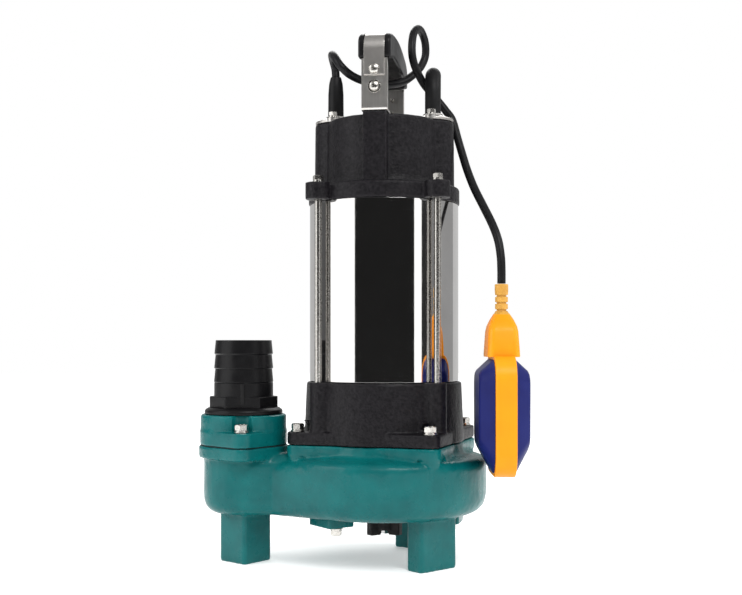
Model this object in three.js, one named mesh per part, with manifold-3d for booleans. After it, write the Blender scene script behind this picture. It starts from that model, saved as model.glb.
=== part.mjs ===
// Submersible sewage and sump pump with a float switch, in millimetres, +Z up.
// The motor stands upright on a volute casing with three feet.  The discharge elbow is on the -X side,
// and the float hangs on the +X side.  Every sub-part is one named mesh in the exported group.
import * as THREE from 'three';
import { mergeVertices } from 'three/addons/utils/BufferGeometryUtils.js';
import Module from 'manifold-3d';

const wasm = await Module();
wasm.setup();

// ---------------------------------------------------------------- driving dimensions
const GAP = 0.3; // between pieces that touch
const ROUND = 28; // segments of a large round
const SMALL_ROUND = 8; // segments of a bolt shank or washer

const BARREL = { radius: 66.5, wall: 2.5, bottom: 160, top: 316 };
const VOLUTE = { radius: 91.5, bottom: 43.5, top: 93.5, topEdge: 10, bottomEdge: 14, chamber: 78 };
const SCROLL = { x: -100, y: -6, radius: 22 }; // where the scroll's straight front side meets the elbow
const FLANGE = { side: 67.7, reach: 84, lug: 9, firstAngle: 67.5, bottom: 106, top: 117 };
const NECK = { bottom: 92, bore: 58.5, spigot: 57.6 };
const HOUSING = { bottomRadius: 70.5, topRadius: 68.6 };
const DISCHARGE = {
  x: -125.5, elbow: 35, bore: 25, flange: 39.5, ear: 11, earReach: 40, bottom: 92.6, top: 103.2,
};
const COUNTER = { bottom: 104, earTop: 116.5, top: 130.5, collar: 37.8 };
const HOSE_TAIL = { bore: 20.5, base: 34.5, hexCorner: 30.5, body: 26, valley: 25, top: 196 };
const HOSE_BARBS = [159.3, 171.6, 184.5]; // height of each barb's lip
const FOOT = { height: 62, square: 33, radial: 19, tangent: 42, angle: 54, reach: 62.5 };
const SUCTION = {
  spigot: 47.7, bottom: 34.7, discBottom: 41, eye: 27, boltReach: 60, angles: [138, 258, 18],
  lugInner: 44, lugOuter: 70, lugs: [[148, 34], [258, 27], [18, 27]], // angle and width of each lug
};
const CUTTER = { bottom: 22, top: 38, tip: 16.5, arms: 3 };
const TIE = { reach: 72.5, firstAngle: 56, radius: 3, lug: 11, housingLug: 9 };
const HEAD_YAW = 12.5; // the cover's glands and handle are turned by this about the motor axis
const COVER = { core: 51, rim: 67.5, rimTop: 331, top: 390, wall: 8 };
const GLAND = { reach: 44, boss: 18.5, plate: 18.3, plateHeight: 3.5, screwReach: 14.3, boot: 7.1 };
const BRACKET = { width: 22, inner: 59, outer: 61, top: 434.5, foot: 2, footReach: 42, boltReach: 50 };
const STRAP = { width: 17.5, thickness: 1.8, side: 61.4, end: 420, shoulder: 442, crown: 461 };
const SCREWS = { lower: 410.5, upper: 424.5 };
const GRIP = { width: 28, end: 61, underside: 441 };
const SHAFT = { radius: 8, stub: 6, top: 331 };
const FLOAT = {
  x: 94.8, y: -62.8, yaw: -4.5, bottom: 82, top: 183, width: 80, thickness: 42.4, band: 17.6,
};
const BALL = { radius: 7, height: 95.4 };
const HOLE = { m4: 2.4, m5: 2.8, m6: 3.3, m8: 4.3 }; // radius of the clearance hole for each bolt size
const IMPELLER = { radius: 62, hub: 16, vanes: 6, vaneLength: 46, vaneReach: 36, vaneTurn: 14 };
const FLOAT_CABLE = 7.2; // diameter
const MAINS_CABLE = 8; // diameter
const COIL = { x: 7, z: 322, front: 72.2, layers: 4, turns: 5, innermost: 32 };
const CABLE_SIDES = 8;

// The float cable from the boot on the left, through the handle, round its loop and down to the float.
const FLOAT_CABLE_UPPER = [
  [-43, 9.5, 434.2], [-43.6, 9.4, 441.4], [-46, 3, 448], [-47, -9, 449.4], [-45.4, -23, 444],
  [-41, -31, 435], [-33.9, -29.6, 428.4], [-24.6, -19.9, 425.9], [-13.1, -6.3, 426.2], [-2.3, 5.6, 427.4],
  [8.5, 14.7, 429.6], [19.5, 23.9, 434.4], [28.8, 32.3, 442.1], [37.2, 39.8, 451.6], [42.4, 43.6, 463.1],
  [42.2, 41.5, 474.8], [38.5, 35.2, 482.7], [33.7, 25.6, 484.1], [28.6, 15.8, 477.3], [26.4, 9.9, 466.7],
  [26.2, 8.1, 456.2], [28.1, 8.9, 447.3], [32, 10, 438.5], [37.4, 11.2, 429.6], [44, 12, 421.9],
  [51, 11.4, 413.6], [57, 9, 405.2], [62.6, 5, 395.7],
];
const FLOAT_CABLE_LOWER = [
  [63.2, 4.2, 393.6], [66.6, -1.8, 377.4], [69.4, -7.5, 364], [73, -15.9, 347], [77.6, -25.3, 330.2],
  [83.2, -36.5, 313.9], [89.4, -48.4, 296.1], [93, -56.6, 281.6], [94.5, -61, 267.6], [94.8, -62.6, 255.6],
  [94.8, -62.8, 244],
];
// The mains cable from its boot, back and down behind the cover, to the coil.
const MAINS_BOOT = [
  [43, -9.5, 381], [43, -9.5, 400], [43, -9.5, 414], [43.2, -8.2, 423], [43.9, -3.4, 431.5],
  [45, 3.4, 436], [46.4, 12, 437.4],
];
const MAINS_CABLE_LEAD = [
  [46.6, 13.2, 437.5], [48.2, 24, 437.6], [50, 36, 436.4], [51.6, 48, 433], [53, 59, 426.6],
  [54.4, 68.4, 417.2], [56, 74.4, 405.6], [58.6, 76.9, 392], [62.2, 76.8, 378], [64.8, 76.5, 367.5],
];
const PLUG = {
  x: 43, y: 100.5, top: 255, relief: 52, length: 34, radius: 17.5, pinLength: 19, pin: 2.4, spacing: 19,
};

// ---------------------------------------------------------------- colours and finishes
const FINISHES = {
  green: { color: 0x14696a, roughness: 0.42, metalness: 0.0 },
  cast_black: { color: 0x232126, roughness: 0.7, metalness: 0.1 },
  mirror_steel: { color: 0xd9d8d6, roughness: 0.06, metalness: 1.0 },
  brushed_steel: { color: 0xa8a6a2, roughness: 0.35, metalness: 1.0 },
  zinc_steel: { color: 0xc4c2bc, roughness: 0.3, metalness: 1.0 },
  black_plastic: { color: 0x1c1b1e, roughness: 0.4, metalness: 0.0 },
  black_rubber: { color: 0x1e1e20, roughness: 0.6, metalness: 0.0 },
  gasket_grey: { color: 0x2b2b2b, roughness: 0.9, metalness: 0.0 },
  float_blue: { color: 0x1f2a78, roughness: 0.4, metalness: 0.0 },
  float_yellow: { color: 0xfba312, roughness: 0.45, metalness: 0.0 },
  copper: { color: 0xb06a35, roughness: 0.45, metalness: 0.9 },
  lamination: { color: 0x5c5f63, roughness: 0.5, metalness: 0.8 },
  ceramic: { color: 0xcac4b4, roughness: 0.35, metalness: 0.0 },
};

// ---------------------------------------------------------------- solids
function toSolid(geometry) {
  const bare = geometry.clone();
  bare.deleteAttribute('normal');
  bare.deleteAttribute('uv');
  const merged = mergeVertices(bare, 1e-4);
  return new wasm.Manifold(new wasm.Mesh({
    numProp: 3,
    vertProperties: merged.attributes.position.array,
    triVerts: new Uint32Array(merged.index.array),
  }));
}

function toGeometry(solid) {
  const mesh = solid.getMesh();
  const geometry = new THREE.BufferGeometry();
  geometry.setAttribute('position', new THREE.BufferAttribute(mesh.vertProperties, 3));
  geometry.setIndex(new THREE.BufferAttribute(mesh.triVerts, 1));
  geometry.computeVertexNormals();
  return geometry;
}

function join(...solids) {
  return solids.reduce((whole, solid) => whole.add(solid));
}

function cut(body, ...tools) {
  return tools.reduce((left, tool) => left.subtract(tool), body);
}

// A solid of revolution about Z.  The profile is a list of [radius, height], from the bottom up along
// the outside.
function turned(profile, segments = ROUND) {
  const points = profile.map(([radius, height]) => new THREE.Vector2(radius, height));
  const geometry = new THREE.LatheGeometry(points, segments);
  geometry.rotateX(Math.PI / 2);
  return toSolid(geometry);
}

// A tube with a rectangular section.
function ring(inner, outer, bottom, top, segments = ROUND) {
  return turned([[inner, bottom], [outer, bottom], [outer, top], [inner, top], [inner, bottom]], segments);
}

function post(radius, bottom, top, x = 0, y = 0, segments = SMALL_ROUND) {
  const geometry = new THREE.CylinderGeometry(radius, radius, top - bottom, segments);
  geometry.rotateX(Math.PI / 2);
  geometry.translate(x, y, (top + bottom) / 2);
  return toSolid(geometry);
}

function block(sizeX, sizeY, bottom, top, x = 0, y = 0, degrees = 0) {
  const geometry = new THREE.BoxGeometry(sizeX, sizeY, top - bottom);
  geometry.rotateZ(THREE.MathUtils.degToRad(degrees));
  geometry.translate(x, y, (top + bottom) / 2);
  return toSolid(geometry);
}

// An upright prism over a shape in XY.
function prism(shape, bottom, top, curveSegments = 8) {
  const options = { depth: top - bottom, bevelEnabled: false, curveSegments };
  const geometry = new THREE.ExtrudeGeometry(shape, options);
  geometry.translate(0, 0, bottom);
  return toSolid(geometry);
}

// A prism over an outline of [y, z] points, from -width / 2 to width / 2 along X.
function crosswise(outline, width) {
  const shape = new THREE.Shape(outline.map(([y, z]) => new THREE.Vector2(y, z)));
  const geometry = new THREE.ExtrudeGeometry(shape, { depth: width, bevelEnabled: false });
  geometry.rotateX(Math.PI / 2);
  geometry.rotateZ(Math.PI / 2);
  geometry.translate(-width / 2, 0, 0);
  return toSolid(geometry);
}

// A convex body through loops of points, each loop with the same number of points.
function loft(loops) {
  const count = loops[0].length;
  const positions = [];
  const corner = (loop, index) => positions.push(...loops[loop][index % count]);
  for (let loop = 0; loop + 1 < loops.length; loop += 1) {
    for (let index = 0; index < count; index += 1) {
      corner(loop, index);
      corner(loop, index + 1);
      corner(loop + 1, index + 1);
      corner(loop, index);
      corner(loop + 1, index + 1);
      corner(loop + 1, index);
    }
  }
  const last = loops.length - 1;
  for (let index = 1; index + 1 < count; index += 1) {
    corner(0, 0);
    corner(0, index + 1);
    corner(0, index);
    corner(last, 0);
    corner(last, index);
    corner(last, index + 1);
  }
  const geometry = new THREE.BufferGeometry();
  geometry.setAttribute('position', new THREE.Float32BufferAttribute(positions, 3));
  return toSolid(geometry);
}

// A round cord of the given diameter along a list of points.
function cord(points, diameter, steps) {
  const path = new THREE.CatmullRomCurve3(points.map((point) => new THREE.Vector3(...point)));
  const section = new THREE.Shape();
  for (let side = 0; side < CABLE_SIDES; side += 1) {
    const angle = (2 * Math.PI * side) / CABLE_SIDES;
    const x = (diameter / 2) * Math.cos(angle);
    const y = (diameter / 2) * Math.sin(angle);
    if (side === 0) section.moveTo(x, y);
    else section.lineTo(x, y);
  }
  section.closePath();
  return toSolid(new THREE.ExtrudeGeometry(section, { steps, extrudePath: path, bevelEnabled: false }));
}

// A point at a distance from the motor axis.  The angle runs from +X towards -Y.
function around(reach, degrees) {
  const angle = THREE.MathUtils.degToRad(degrees);
  return [reach * Math.cos(angle), -reach * Math.sin(angle)];
}

// A round plate whose edge runs out in tangents to round lugs, which are evenly spaced.
function luggedShape(side, reach, lug, angles) {
  const shape = new THREE.Shape();
  const pitch = (2 * Math.PI) / angles.length;
  const spread = Math.min(Math.acos((side - lug) / reach), pitch / 2);
  for (const degrees of [...angles].reverse()) {
    const [x, y] = around(reach, degrees);
    const middle = Math.atan2(y, x);
    shape.absarc(x, y, lug, middle - spread, middle + spread, false);
    if (spread < pitch / 2 - 0.01) shape.absarc(0, 0, side, middle + spread, middle + pitch - spread, false);
  }
  shape.closePath();
  return shape;
}

// Quarter-round points of a profile, from one angle to another about a centre.
function bend(centreRadius, centreHeight, radius, fromDegrees, toDegrees, count = 4) {
  return Array.from({ length: count + 1 }, (_, index) => {
    const angle = THREE.MathUtils.degToRad(fromDegrees + ((toDegrees - fromDegrees) * index) / count);
    return [centreRadius + radius * Math.cos(angle), centreHeight + radius * Math.sin(angle)];
  });
}

// ---------------------------------------------------------------- nodes
const pump = new THREE.Group();
const head = new THREE.Group(); // turned with the glands and the handle
head.rotation.z = -THREE.MathUtils.degToRad(HEAD_YAW);
const float = new THREE.Group();
float.position.set(FLOAT.x, FLOAT.y, 0);
float.rotation.z = THREE.MathUtils.degToRad(FLOAT.yaw);
pump.add(head, float);

function place(name, solid, finish, group = pump) {
  const mesh = new THREE.Mesh(toGeometry(solid), new THREE.MeshStandardMaterial(FINISHES[finish]));
  mesh.name = name;
  group.add(mesh);
  return mesh;
}

// A hexagon bolt with a washer.  The head is above the seat, or below it where up is -1.
function hexBolt(x, y, seat, shankEnd, across, radius, up = 1) {
  const span = (from, to) => [Math.min(from, to), Math.max(from, to)];
  const washer = post(across * 0.72, ...span(seat + up * GAP, seat + up * (GAP + 1.4)), x, y);
  const headSpan = span(seat + up * (GAP + 1.3), seat + up * (GAP + 6.4));
  const hex = post(across / Math.sqrt(3), ...headSpan, x, y, 6);
  const shank = post(radius, ...span(shankEnd, seat + up * (GAP + 2)), x, y, 6);
  return join(washer, hex, shank);
}

const flangeAngles = [0, 1, 2, 3].map((index) => FLANGE.firstAngle + 90 * index);
const tieAngles = [0, 1, 2, 3].map((index) => TIE.firstAngle + 90 * index);

// ---------------------------------------------------------------- wet end
function voluteCasing() {
  const { radius, bottom, top, topEdge, bottomEdge } = VOLUTE;
  const drum = turned([
    [0, bottom],
    ...bend(radius - bottomEdge, bottom + bottomEdge, bottomEdge, -90, 0),
    ...bend(radius - topEdge, top - topEdge, topEdge, 0, 90),
    [0, top],
  ]);
  const neck = prism(luggedShape(FLANGE.side, FLANGE.reach, FLANGE.lug, flangeAngles),
    NECK.bottom, FLANGE.bottom - GAP, 5);
  const elbow = turned([
    [0, bottom],
    ...bend(DISCHARGE.elbow - bottomEdge, bottom + bottomEdge, bottomEdge, -90, 0),
    [DISCHARGE.elbow, DISCHARGE.bottom + 1],
    [0, DISCHARGE.bottom + 1],
  ], 24).translate([DISCHARGE.x, 0, 0]);
  const scrollEnd = turned([
    [0, bottom],
    ...bend(SCROLL.radius - bottomEdge, bottom + bottomEdge, bottomEdge, -90, 0),
    ...bend(SCROLL.radius - topEdge, top - topEdge, topEdge, 0, 90),
    [0, top],
  ], 24).translate([SCROLL.x, SCROLL.y, 0]);
  const frontHalf = block(2 * radius, radius + 1, bottom - 1, top + 1, SCROLL.x, -(radius + 1) / 2);
  const scroll = wasm.Manifold.hull([drum, scrollEnd]).intersect(frontHalf);
  const ductEdge = 9;
  const ductShape = [
    [-35, bottom + ductEdge], [-35 + ductEdge, bottom], [35 - ductEdge, bottom], [35, bottom + ductEdge],
    [35, 88], [29, 96], [-29, 96], [-35, 88],
  ];
  const duct = crosswise(ductShape, 96).translate([DISCHARGE.x + 48, 0, 0]);
  const flange = prism(luggedShape(DISCHARGE.flange, DISCHARGE.earReach, DISCHARGE.ear, [90, 270]),
    DISCHARGE.bottom, DISCHARGE.top, 6).translate([DISCHARGE.x, 0, 0]);
  const feet = [block(FOOT.square, FOOT.square, 0, FOOT.height, DISCHARGE.x + 1.5, 0, 45)];
  for (const side of [-1, 1]) {
    const [x, y] = around(FOOT.reach, side * FOOT.angle);
    feet.push(block(FOOT.radial, FOOT.tangent, 0, FOOT.height, x, y, -side * FOOT.angle));
  }
  const chamber = turned([
    [0, bottom - 1], [SUCTION.spigot + 2 * GAP, bottom - 1], [SUCTION.spigot + 2 * GAP, 52],
    [VOLUTE.chamber, 52], [VOLUTE.chamber, 88.5], [NECK.bore, 88.5], [NECK.bore, FLANGE.bottom + 1],
    [0, FLANGE.bottom + 1],
  ], 24);
  const ductBore = new THREE.CylinderGeometry(20, 20, 80, 12);
  ductBore.rotateZ(Math.PI / 2);
  ductBore.translate(DISCHARGE.x + 40, 0, 70);
  const riser = post(DISCHARGE.bore, 60, DISCHARGE.top + 1, DISCHARGE.x, 0, 16);
  const holes = [];
  for (const degrees of SUCTION.angles) {
    holes.push(post(HOLE.m6, bottom - 1, 50, ...around(SUCTION.boltReach, degrees)));
  }
  for (const degrees of flangeAngles) {
    holes.push(post(HOLE.m8, NECK.bottom, FLANGE.bottom + 1, ...around(FLANGE.reach, degrees)));
  }
  for (const side of [-1, 1]) {
    const y = side * DISCHARGE.earReach;
    holes.push(post(HOLE.m8, DISCHARGE.bottom - 1, DISCHARGE.top + 1, DISCHARGE.x, y));
  }
  const body = join(drum, neck, scroll, elbow, duct, flange, ...feet);
  return cut(body, chamber, toSolid(ductBore), riser, ...holes);
}

function suctionCover() {
  const plateTop = VOLUTE.bottom - GAP;
  const disc = post(SUCTION.spigot, SUCTION.discBottom, 53, 0, 0, 24);
  const arms = SUCTION.lugs.map(([degrees, width]) => {
    const [x, y] = around((SUCTION.lugInner + SUCTION.lugOuter) / 2, degrees);
    return block(SUCTION.lugOuter - SUCTION.lugInner, width, SUCTION.bottom, plateTop, x, y, -degrees);
  });
  const eye = post(SUCTION.eye, SUCTION.bottom - 1, 54, 0, 0, 24);
  const holes = SUCTION.angles.map((degrees) =>
    post(HOLE.m6, SUCTION.bottom - 1, plateTop + 1, ...around(SUCTION.boltReach, degrees)));
  return cut(join(disc, ...arms), eye, ...holes);
}

function impeller() {
  const { radius, hub, vanes, vaneLength, vaneReach, vaneTurn } = IMPELLER;
  const disc = post(radius, 79, 84, 0, 0, 24);
  const boss = post(hub, 56, 85, 0, 0, 12);
  const pitch = 360 / vanes;
  const blades = Array.from({ length: vanes }, (_, index) => {
    const [x, y] = around(vaneReach, pitch * index);
    return block(vaneLength, 5, 58, 80, x, y, vaneTurn - pitch * index);
  });
  return cut(join(disc, boss, ...blades), post(SHAFT.stub + 1, 50, 90));
}

function cutter() {
  const hub = post(10, CUTTER.bottom + 4, 55.6, 0, 0, 12);
  const arms = Array.from({ length: CUTTER.arms }, (_, index) => {
    const [x, y] = around(CUTTER.tip / 2, 120 * index + 30);
    return block(CUTTER.tip, 8, CUTTER.bottom, CUTTER.top, x, y, -120 * index - 30);
  });
  return cut(join(hub, ...arms), post(SHAFT.stub + 1, CUTTER.bottom - 1, 60));
}

place('volute_casing', voluteCasing(), 'green');
place('suction_cover', suctionCover(), 'green');
SUCTION.angles.forEach((degrees, index) => {
  const [x, y] = around(SUCTION.boltReach, degrees);
  place(`suction_bolt_${index + 1}`, hexBolt(x, y, SUCTION.bottom, 49, 9, 3, -1), 'zinc_steel');
});
place('impeller', impeller(), 'cast_black');
place('cutter', cutter(), 'cast_black');

// ---------------------------------------------------------------- discharge
function counterFlange() {
  const ears = prism(luggedShape(DISCHARGE.flange - 1, DISCHARGE.earReach, DISCHARGE.ear, [90, 270]),
    COUNTER.bottom, COUNTER.earTop, 6);
  const collar = post(COUNTER.collar, COUNTER.bottom + 1, COUNTER.top, 0, 0, 24);
  const recesses = [];
  for (const side of [-1, 1]) {
    recesses.push(post(9.2, COUNTER.earTop, COUNTER.top + 1, 0, side * DISCHARGE.earReach, 16));
    recesses.push(post(HOLE.m8, COUNTER.bottom - 1, COUNTER.earTop + 1, 0, side * DISCHARGE.earReach));
  }
  const bore = post(DISCHARGE.bore, COUNTER.bottom - 1, 121, 0, 0, 16);
  const socket = post(28.3, 120, COUNTER.top + 1, 0, 0, 24);
  return cut(join(ears, collar), bore, socket, ...recesses).translate([DISCHARGE.x, 0, 0]);
}

function hoseTail() {
  const { bore, base, body, valley, top } = HOSE_TAIL;
  const barbs = HOSE_BARBS.flatMap((lip, index) => [
    [valley, lip - 1.2], [body - 0.3 * index, lip], [body - 0.3 * index, lip + 1.4],
  ]);
  const spout = turned([
    [bore, 121.3], [28, 121.3], [28, COUNTER.top + GAP], [base, COUNTER.top + GAP], [base, 136], [body, 136],
    [body, 156], ...barbs, [valley, top], [bore, top], [bore, 121.3],
  ], 24);
  const hex = cut(post(HOSE_TAIL.hexCorner, 135.5, 146.3, 0, 0, 6), post(bore + 2, 130, 150, 0, 0, 24));
  return join(spout, hex).translate([DISCHARGE.x, 0, 0]);
}

const gasket = cut(
  prism(luggedShape(DISCHARGE.flange - 1.5, DISCHARGE.earReach, DISCHARGE.ear - 1.5, [90, 270]),
    DISCHARGE.top + 0.15, COUNTER.bottom - 0.15, 4),
  post(DISCHARGE.bore, 100, 108, 0, 0, 16),
  post(HOLE.m8, 100, 108, 0, DISCHARGE.earReach),
  post(HOLE.m8, 100, 108, 0, -DISCHARGE.earReach),
).translate([DISCHARGE.x, 0, 0]);
place('discharge_gasket', gasket, 'gasket_grey');
place('discharge_flange', counterFlange(), 'green');
place('hose_tail', hoseTail(), 'black_plastic');
for (const [side, name] of [[-1, 'front'], [1, 'rear']]) {
  const bolt = hexBolt(DISCHARGE.x, side * DISCHARGE.earReach, COUNTER.earTop, 95, 11, 4);
  place(`discharge_bolt_${name}`, bolt, 'zinc_steel');
}

// ---------------------------------------------------------------- oil housing, seal and bearings
function oilHousing() {
  const bottom = FLANGE.bottom;
  const shell = turned([
    [10.5, NECK.bottom], [NECK.spigot, NECK.bottom], [NECK.spigot, bottom], [HOUSING.bottomRadius, bottom],
    [HOUSING.topRadius, BARREL.bottom - GAP], [63.4, BARREL.bottom - GAP], [63.4, 168], [56, 168], [56, 159],
    [22.2, 159], [22.2, 148], [12, 148], [12, 143], [52, 143], [52, 114], [10.5, 114], [10.5, NECK.bottom],
  ]);
  const flange = cut(
    prism(luggedShape(FLANGE.side, FLANGE.reach, FLANGE.lug, flangeAngles), bottom, FLANGE.top, 5),
    post(60, bottom - 1, FLANGE.top + 1, 0, 0, 24),
  );
  const lugs = tieAngles.map((degrees) =>
    cut(
      post(TIE.housingLug, bottom + 1, BARREL.bottom - GAP, ...around(TIE.reach - 2, degrees), 12),
      post(64, bottom, BARREL.bottom, 0, 0, 24),
    ));
  const holes = [
    ...flangeAngles.map((degrees) =>
      post(HOLE.m8, bottom - 1, FLANGE.top + 1, ...around(FLANGE.reach, degrees))),
    ...tieAngles.map((degrees) =>
      post(TIE.radius + GAP, 139, BARREL.bottom + 1, ...around(TIE.reach, degrees))),
  ];
  return cut(join(shell, flange, ...lugs), ...holes);
}

place('oil_housing', oilHousing(), 'cast_black');
flangeAngles.forEach((degrees, index) => {
  const [x, y] = around(FLANGE.reach, degrees);
  place(`casing_bolt_${index + 1}`, hexBolt(x, y, FLANGE.top, 94, 10, 4), 'zinc_steel');
});
place('seal_seat', ring(9, 20, 114 + GAP, 120, 24), 'ceramic');
place('seal_head', ring(SHAFT.radius + GAP, 17, 120 + GAP, 137, 24), 'brushed_steel');
place('lower_bearing', ring(SHAFT.radius + GAP, 21.9, 148 + GAP, 158, 28), 'brushed_steel');

// ---------------------------------------------------------------- motor
function shaft() {
  return turned([
    [0, CUTTER.bottom + 1], [SHAFT.stub, CUTTER.bottom + 1], [SHAFT.stub, 85.4], [SHAFT.radius, 85.4],
    [SHAFT.radius, SHAFT.top], [0, SHAFT.top],
  ], 12);
}

const SLOTS = 6;
const CORE = { inner: 35, outer: 63.4, bottom: 195, top: 275 };
function slotBars(radius, bottom, top) {
  return Array.from({ length: SLOTS }, (_, index) =>
    post(radius, bottom, top, ...around(47, (360 / SLOTS) * index), 6));
}

place('shaft', shaft(), 'brushed_steel');
place('rotor_core', ring(SHAFT.radius + GAP, 34.4, 193, 277, 32), 'lamination');
const stator = cut(ring(CORE.inner, CORE.outer, CORE.bottom, CORE.top), ...slotBars(6, 190, 280));
place('stator_core', stator, 'lamination');
const winding = join(ring(37, 57, 178, CORE.bottom - GAP, 20), ring(37, 57, CORE.top + GAP, 292, 20),
  ...slotBars(5.6, 190, 280));
place('stator_winding', winding, 'copper');
const barrel = ring(BARREL.radius - BARREL.wall, BARREL.radius, BARREL.bottom, BARREL.top);
place('motor_barrel', barrel, 'mirror_steel');

// ---------------------------------------------------------------- top cover
// The cover's bosses and their bores are drawn in the turned head frame, and its lugs in the pump frame.
function topCover() {
  const bottom = BARREL.top + GAP;
  const yaw = -HEAD_YAW;
  const rim = turned([
    [0, 308], [63.4, 308], [63.4, bottom], [COVER.rim, bottom], [COVER.rim, COVER.rimTop - 2],
    [COVER.rim - 2, COVER.rimTop], [0, COVER.rimTop],
  ]);
  const core = post(COVER.core, COVER.rimTop - 1, COVER.top, 0, 0, 28);
  const lugs = tieAngles.map((degrees) =>
    post(TIE.lug, bottom, COVER.rimTop, ...around(TIE.reach, degrees), 14));
  const bosses = [];
  const bores = [];
  for (const side of [-1, 1]) {
    const gland = [side * GLAND.reach, 0];
    bosses.push(post(GLAND.boss, COVER.rimTop - 1, COVER.top, ...gland, 16));
    bores.push(post(GLAND.boot + GAP, 370, COVER.top + 1, ...gland, 12));
    for (const end of [-1, 1]) {
      bores.push(post(HOLE.m5, 378, COVER.top + 1, gland[0], end * GLAND.screwReach));
    }
    bosses.push(block(20, 24, COVER.rimTop - 1, COVER.top, 0, side * 48.5));
    bores.push(post(HOLE.m5, 378, COVER.top + 1, 0, side * BRACKET.boltReach));
  }
  const turnedBosses = join(...bosses).rotate([0, 0, yaw]);
  const turnedBores = join(...bores).rotate([0, 0, yaw]);
  const cavity = turned([
    [0, 300], [55, 300], [55, 322], [COVER.core - COVER.wall, 330], [COVER.core - COVER.wall, 380], [0, 380],
  ], 24);
  const seat = ring(17, 24, 320, 334, 20);
  const webs = [0, 120, 240].map((degrees) => block(34, 6, 320, 330, ...around(38, degrees), -degrees));
  const tieHoles = tieAngles.map((degrees) =>
    post(TIE.radius + GAP, bottom - 1, COVER.rimTop + 1, ...around(TIE.reach, degrees)));
  const shell = cut(join(rim, core, ...lugs, turnedBosses), cavity, turnedBores, ...tieHoles);
  return join(shell, seat, ...webs);
}

place('top_cover', topCover(), 'cast_black');
tieAngles.forEach((degrees, index) => {
  const [x, y] = around(TIE.reach, degrees);
  place(`tie_bolt_${index + 1}`, hexBolt(x, y, COVER.rimTop, 140, 9.5, TIE.radius), 'zinc_steel');
});
place('upper_bearing', ring(SHAFT.radius + GAP, 17 - GAP, 320, 331, 24), 'brushed_steel');
const capacitor = new THREE.CylinderGeometry(17, 17, 62, 20);
capacitor.rotateZ(Math.PI / 2);
capacitor.translate(0, 0, 356);
place('capacitor', toSolid(capacitor), 'brushed_steel', head);

// ---------------------------------------------------------------- handle
// The strap's inner face as [y, z] points, from the front end over the crown to the rear end.
function strapLine() {
  const { side, end, shoulder, crown } = STRAP;
  const spring = new THREE.Vector2(-side, shoulder);
  const haunch = new THREE.Vector2(-side + 16, crown - 4.4);
  const corner = new THREE.QuadraticBezierCurve(spring, new THREE.Vector2(-side, crown - 6), haunch);
  const top = new THREE.Vector2(0, crown);
  const crest = new THREE.QuadraticBezierCurve(haunch, new THREE.Vector2(-20, crown), top);
  const curve = [...corner.getPoints(5), ...crest.getPoints(4).slice(1)];
  const front = [[-side, end], ...curve.map((point) => [point.x, point.y])];
  const rear = front.slice(0, -1).reverse().map(([y, z]) => [-y, z]);
  return [...front, ...rear];
}

// A line of [y, z] points moved outward, away from the grip.
function moved(line, distance) {
  return line.map(([y, z], index) => {
    const before = line[Math.max(index - 1, 0)];
    const after = line[Math.min(index + 1, line.length - 1)];
    const along = new THREE.Vector2(after[0] - before[0], after[1] - before[1]).normalize();
    return [y - distance * along.y, z + distance * along.x];
  });
}

// A screw hole along Y through the upright and the strap.
function screwHole(side, height) {
  const hole = new THREE.CylinderGeometry(HOLE.m4, HOLE.m4, 14, 10);
  hole.translate(0, side * BRACKET.outer, height);
  return toSolid(hole);
}

function handleStrap() {
  const inner = strapLine();
  const outline = [...inner, ...moved(inner, STRAP.thickness).reverse()];
  return cut(crosswise(outline, STRAP.width), screwHole(-1, SCREWS.upper), screwHole(1, SCREWS.upper));
}

function handleGrip() {
  const channelFloor = moved(strapLine(), -GAP).slice(1, -1);
  const top = moved(strapLine(), STRAP.thickness + 0.4).slice(1, -1)
    .map(([y, z]) => [THREE.MathUtils.clamp(y, -GRIP.end - 1, GRIP.end + 1), z]);
  const base = BRACKET.top + GAP;
  const under = [
    [55, base], [50, 437.4], [36, 439.8], [18, GRIP.underside], [0, GRIP.underside + 0.3],
    [-18, GRIP.underside], [-36, 439.8], [-50, 437.4], [-55, base],
  ];
  const body = crosswise([[-GRIP.end - 1, base], ...top, [GRIP.end + 1, base], ...under], GRIP.width);
  const channel = crosswise([
    [-70, base - 1], [channelFloor[0][0], base - 1], ...channelFloor, [channelFloor.at(-1)[0], base - 1],
    [70, base - 1], [70, 475], [-70, 475],
  ], STRAP.width + 2 * GAP);
  return cut(body, channel);
}

// A channel-shaped upright with a foot that is bent inward, front or rear.
function handleBracket(side) {
  const { width, inner, outer, top, foot, footReach } = BRACKET;
  const bottom = COVER.top + GAP;
  const upright = block(width, outer - inner, bottom, top, 0, (side * (inner + outer)) / 2);
  const lips = [-1, 1].map((edge) =>
    block(1.6, 5, bottom, top - 6, edge * (width / 2 - 0.8), side * (inner - 2)));
  const footMiddle = (side * (outer + footReach)) / 2;
  const base = block(width - 4, outer - footReach, bottom, bottom + foot, 0, footMiddle);
  const bore = post(HOLE.m5, bottom - 1, bottom + foot + 1, 0, side * BRACKET.boltReach);
  const screws = [screwHole(side, SCREWS.lower), screwHole(side, SCREWS.upper)];
  return cut(join(upright, ...lips, base), bore, ...screws);
}

// A pan-head screw that lies along Y, with its head outside.
function panScrew(side, height, seat) {
  const profile = [[0, -8], [2, -8], [2, GAP], [4.6, GAP], [4.6, 1.2], [3.5, 1.2], [3, 3.2], [0, 3.9]];
  const screw = turned(profile, 8).rotate([side * -90, 0, 0]);
  return screw.translate([0, side * seat, height]);
}

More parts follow.
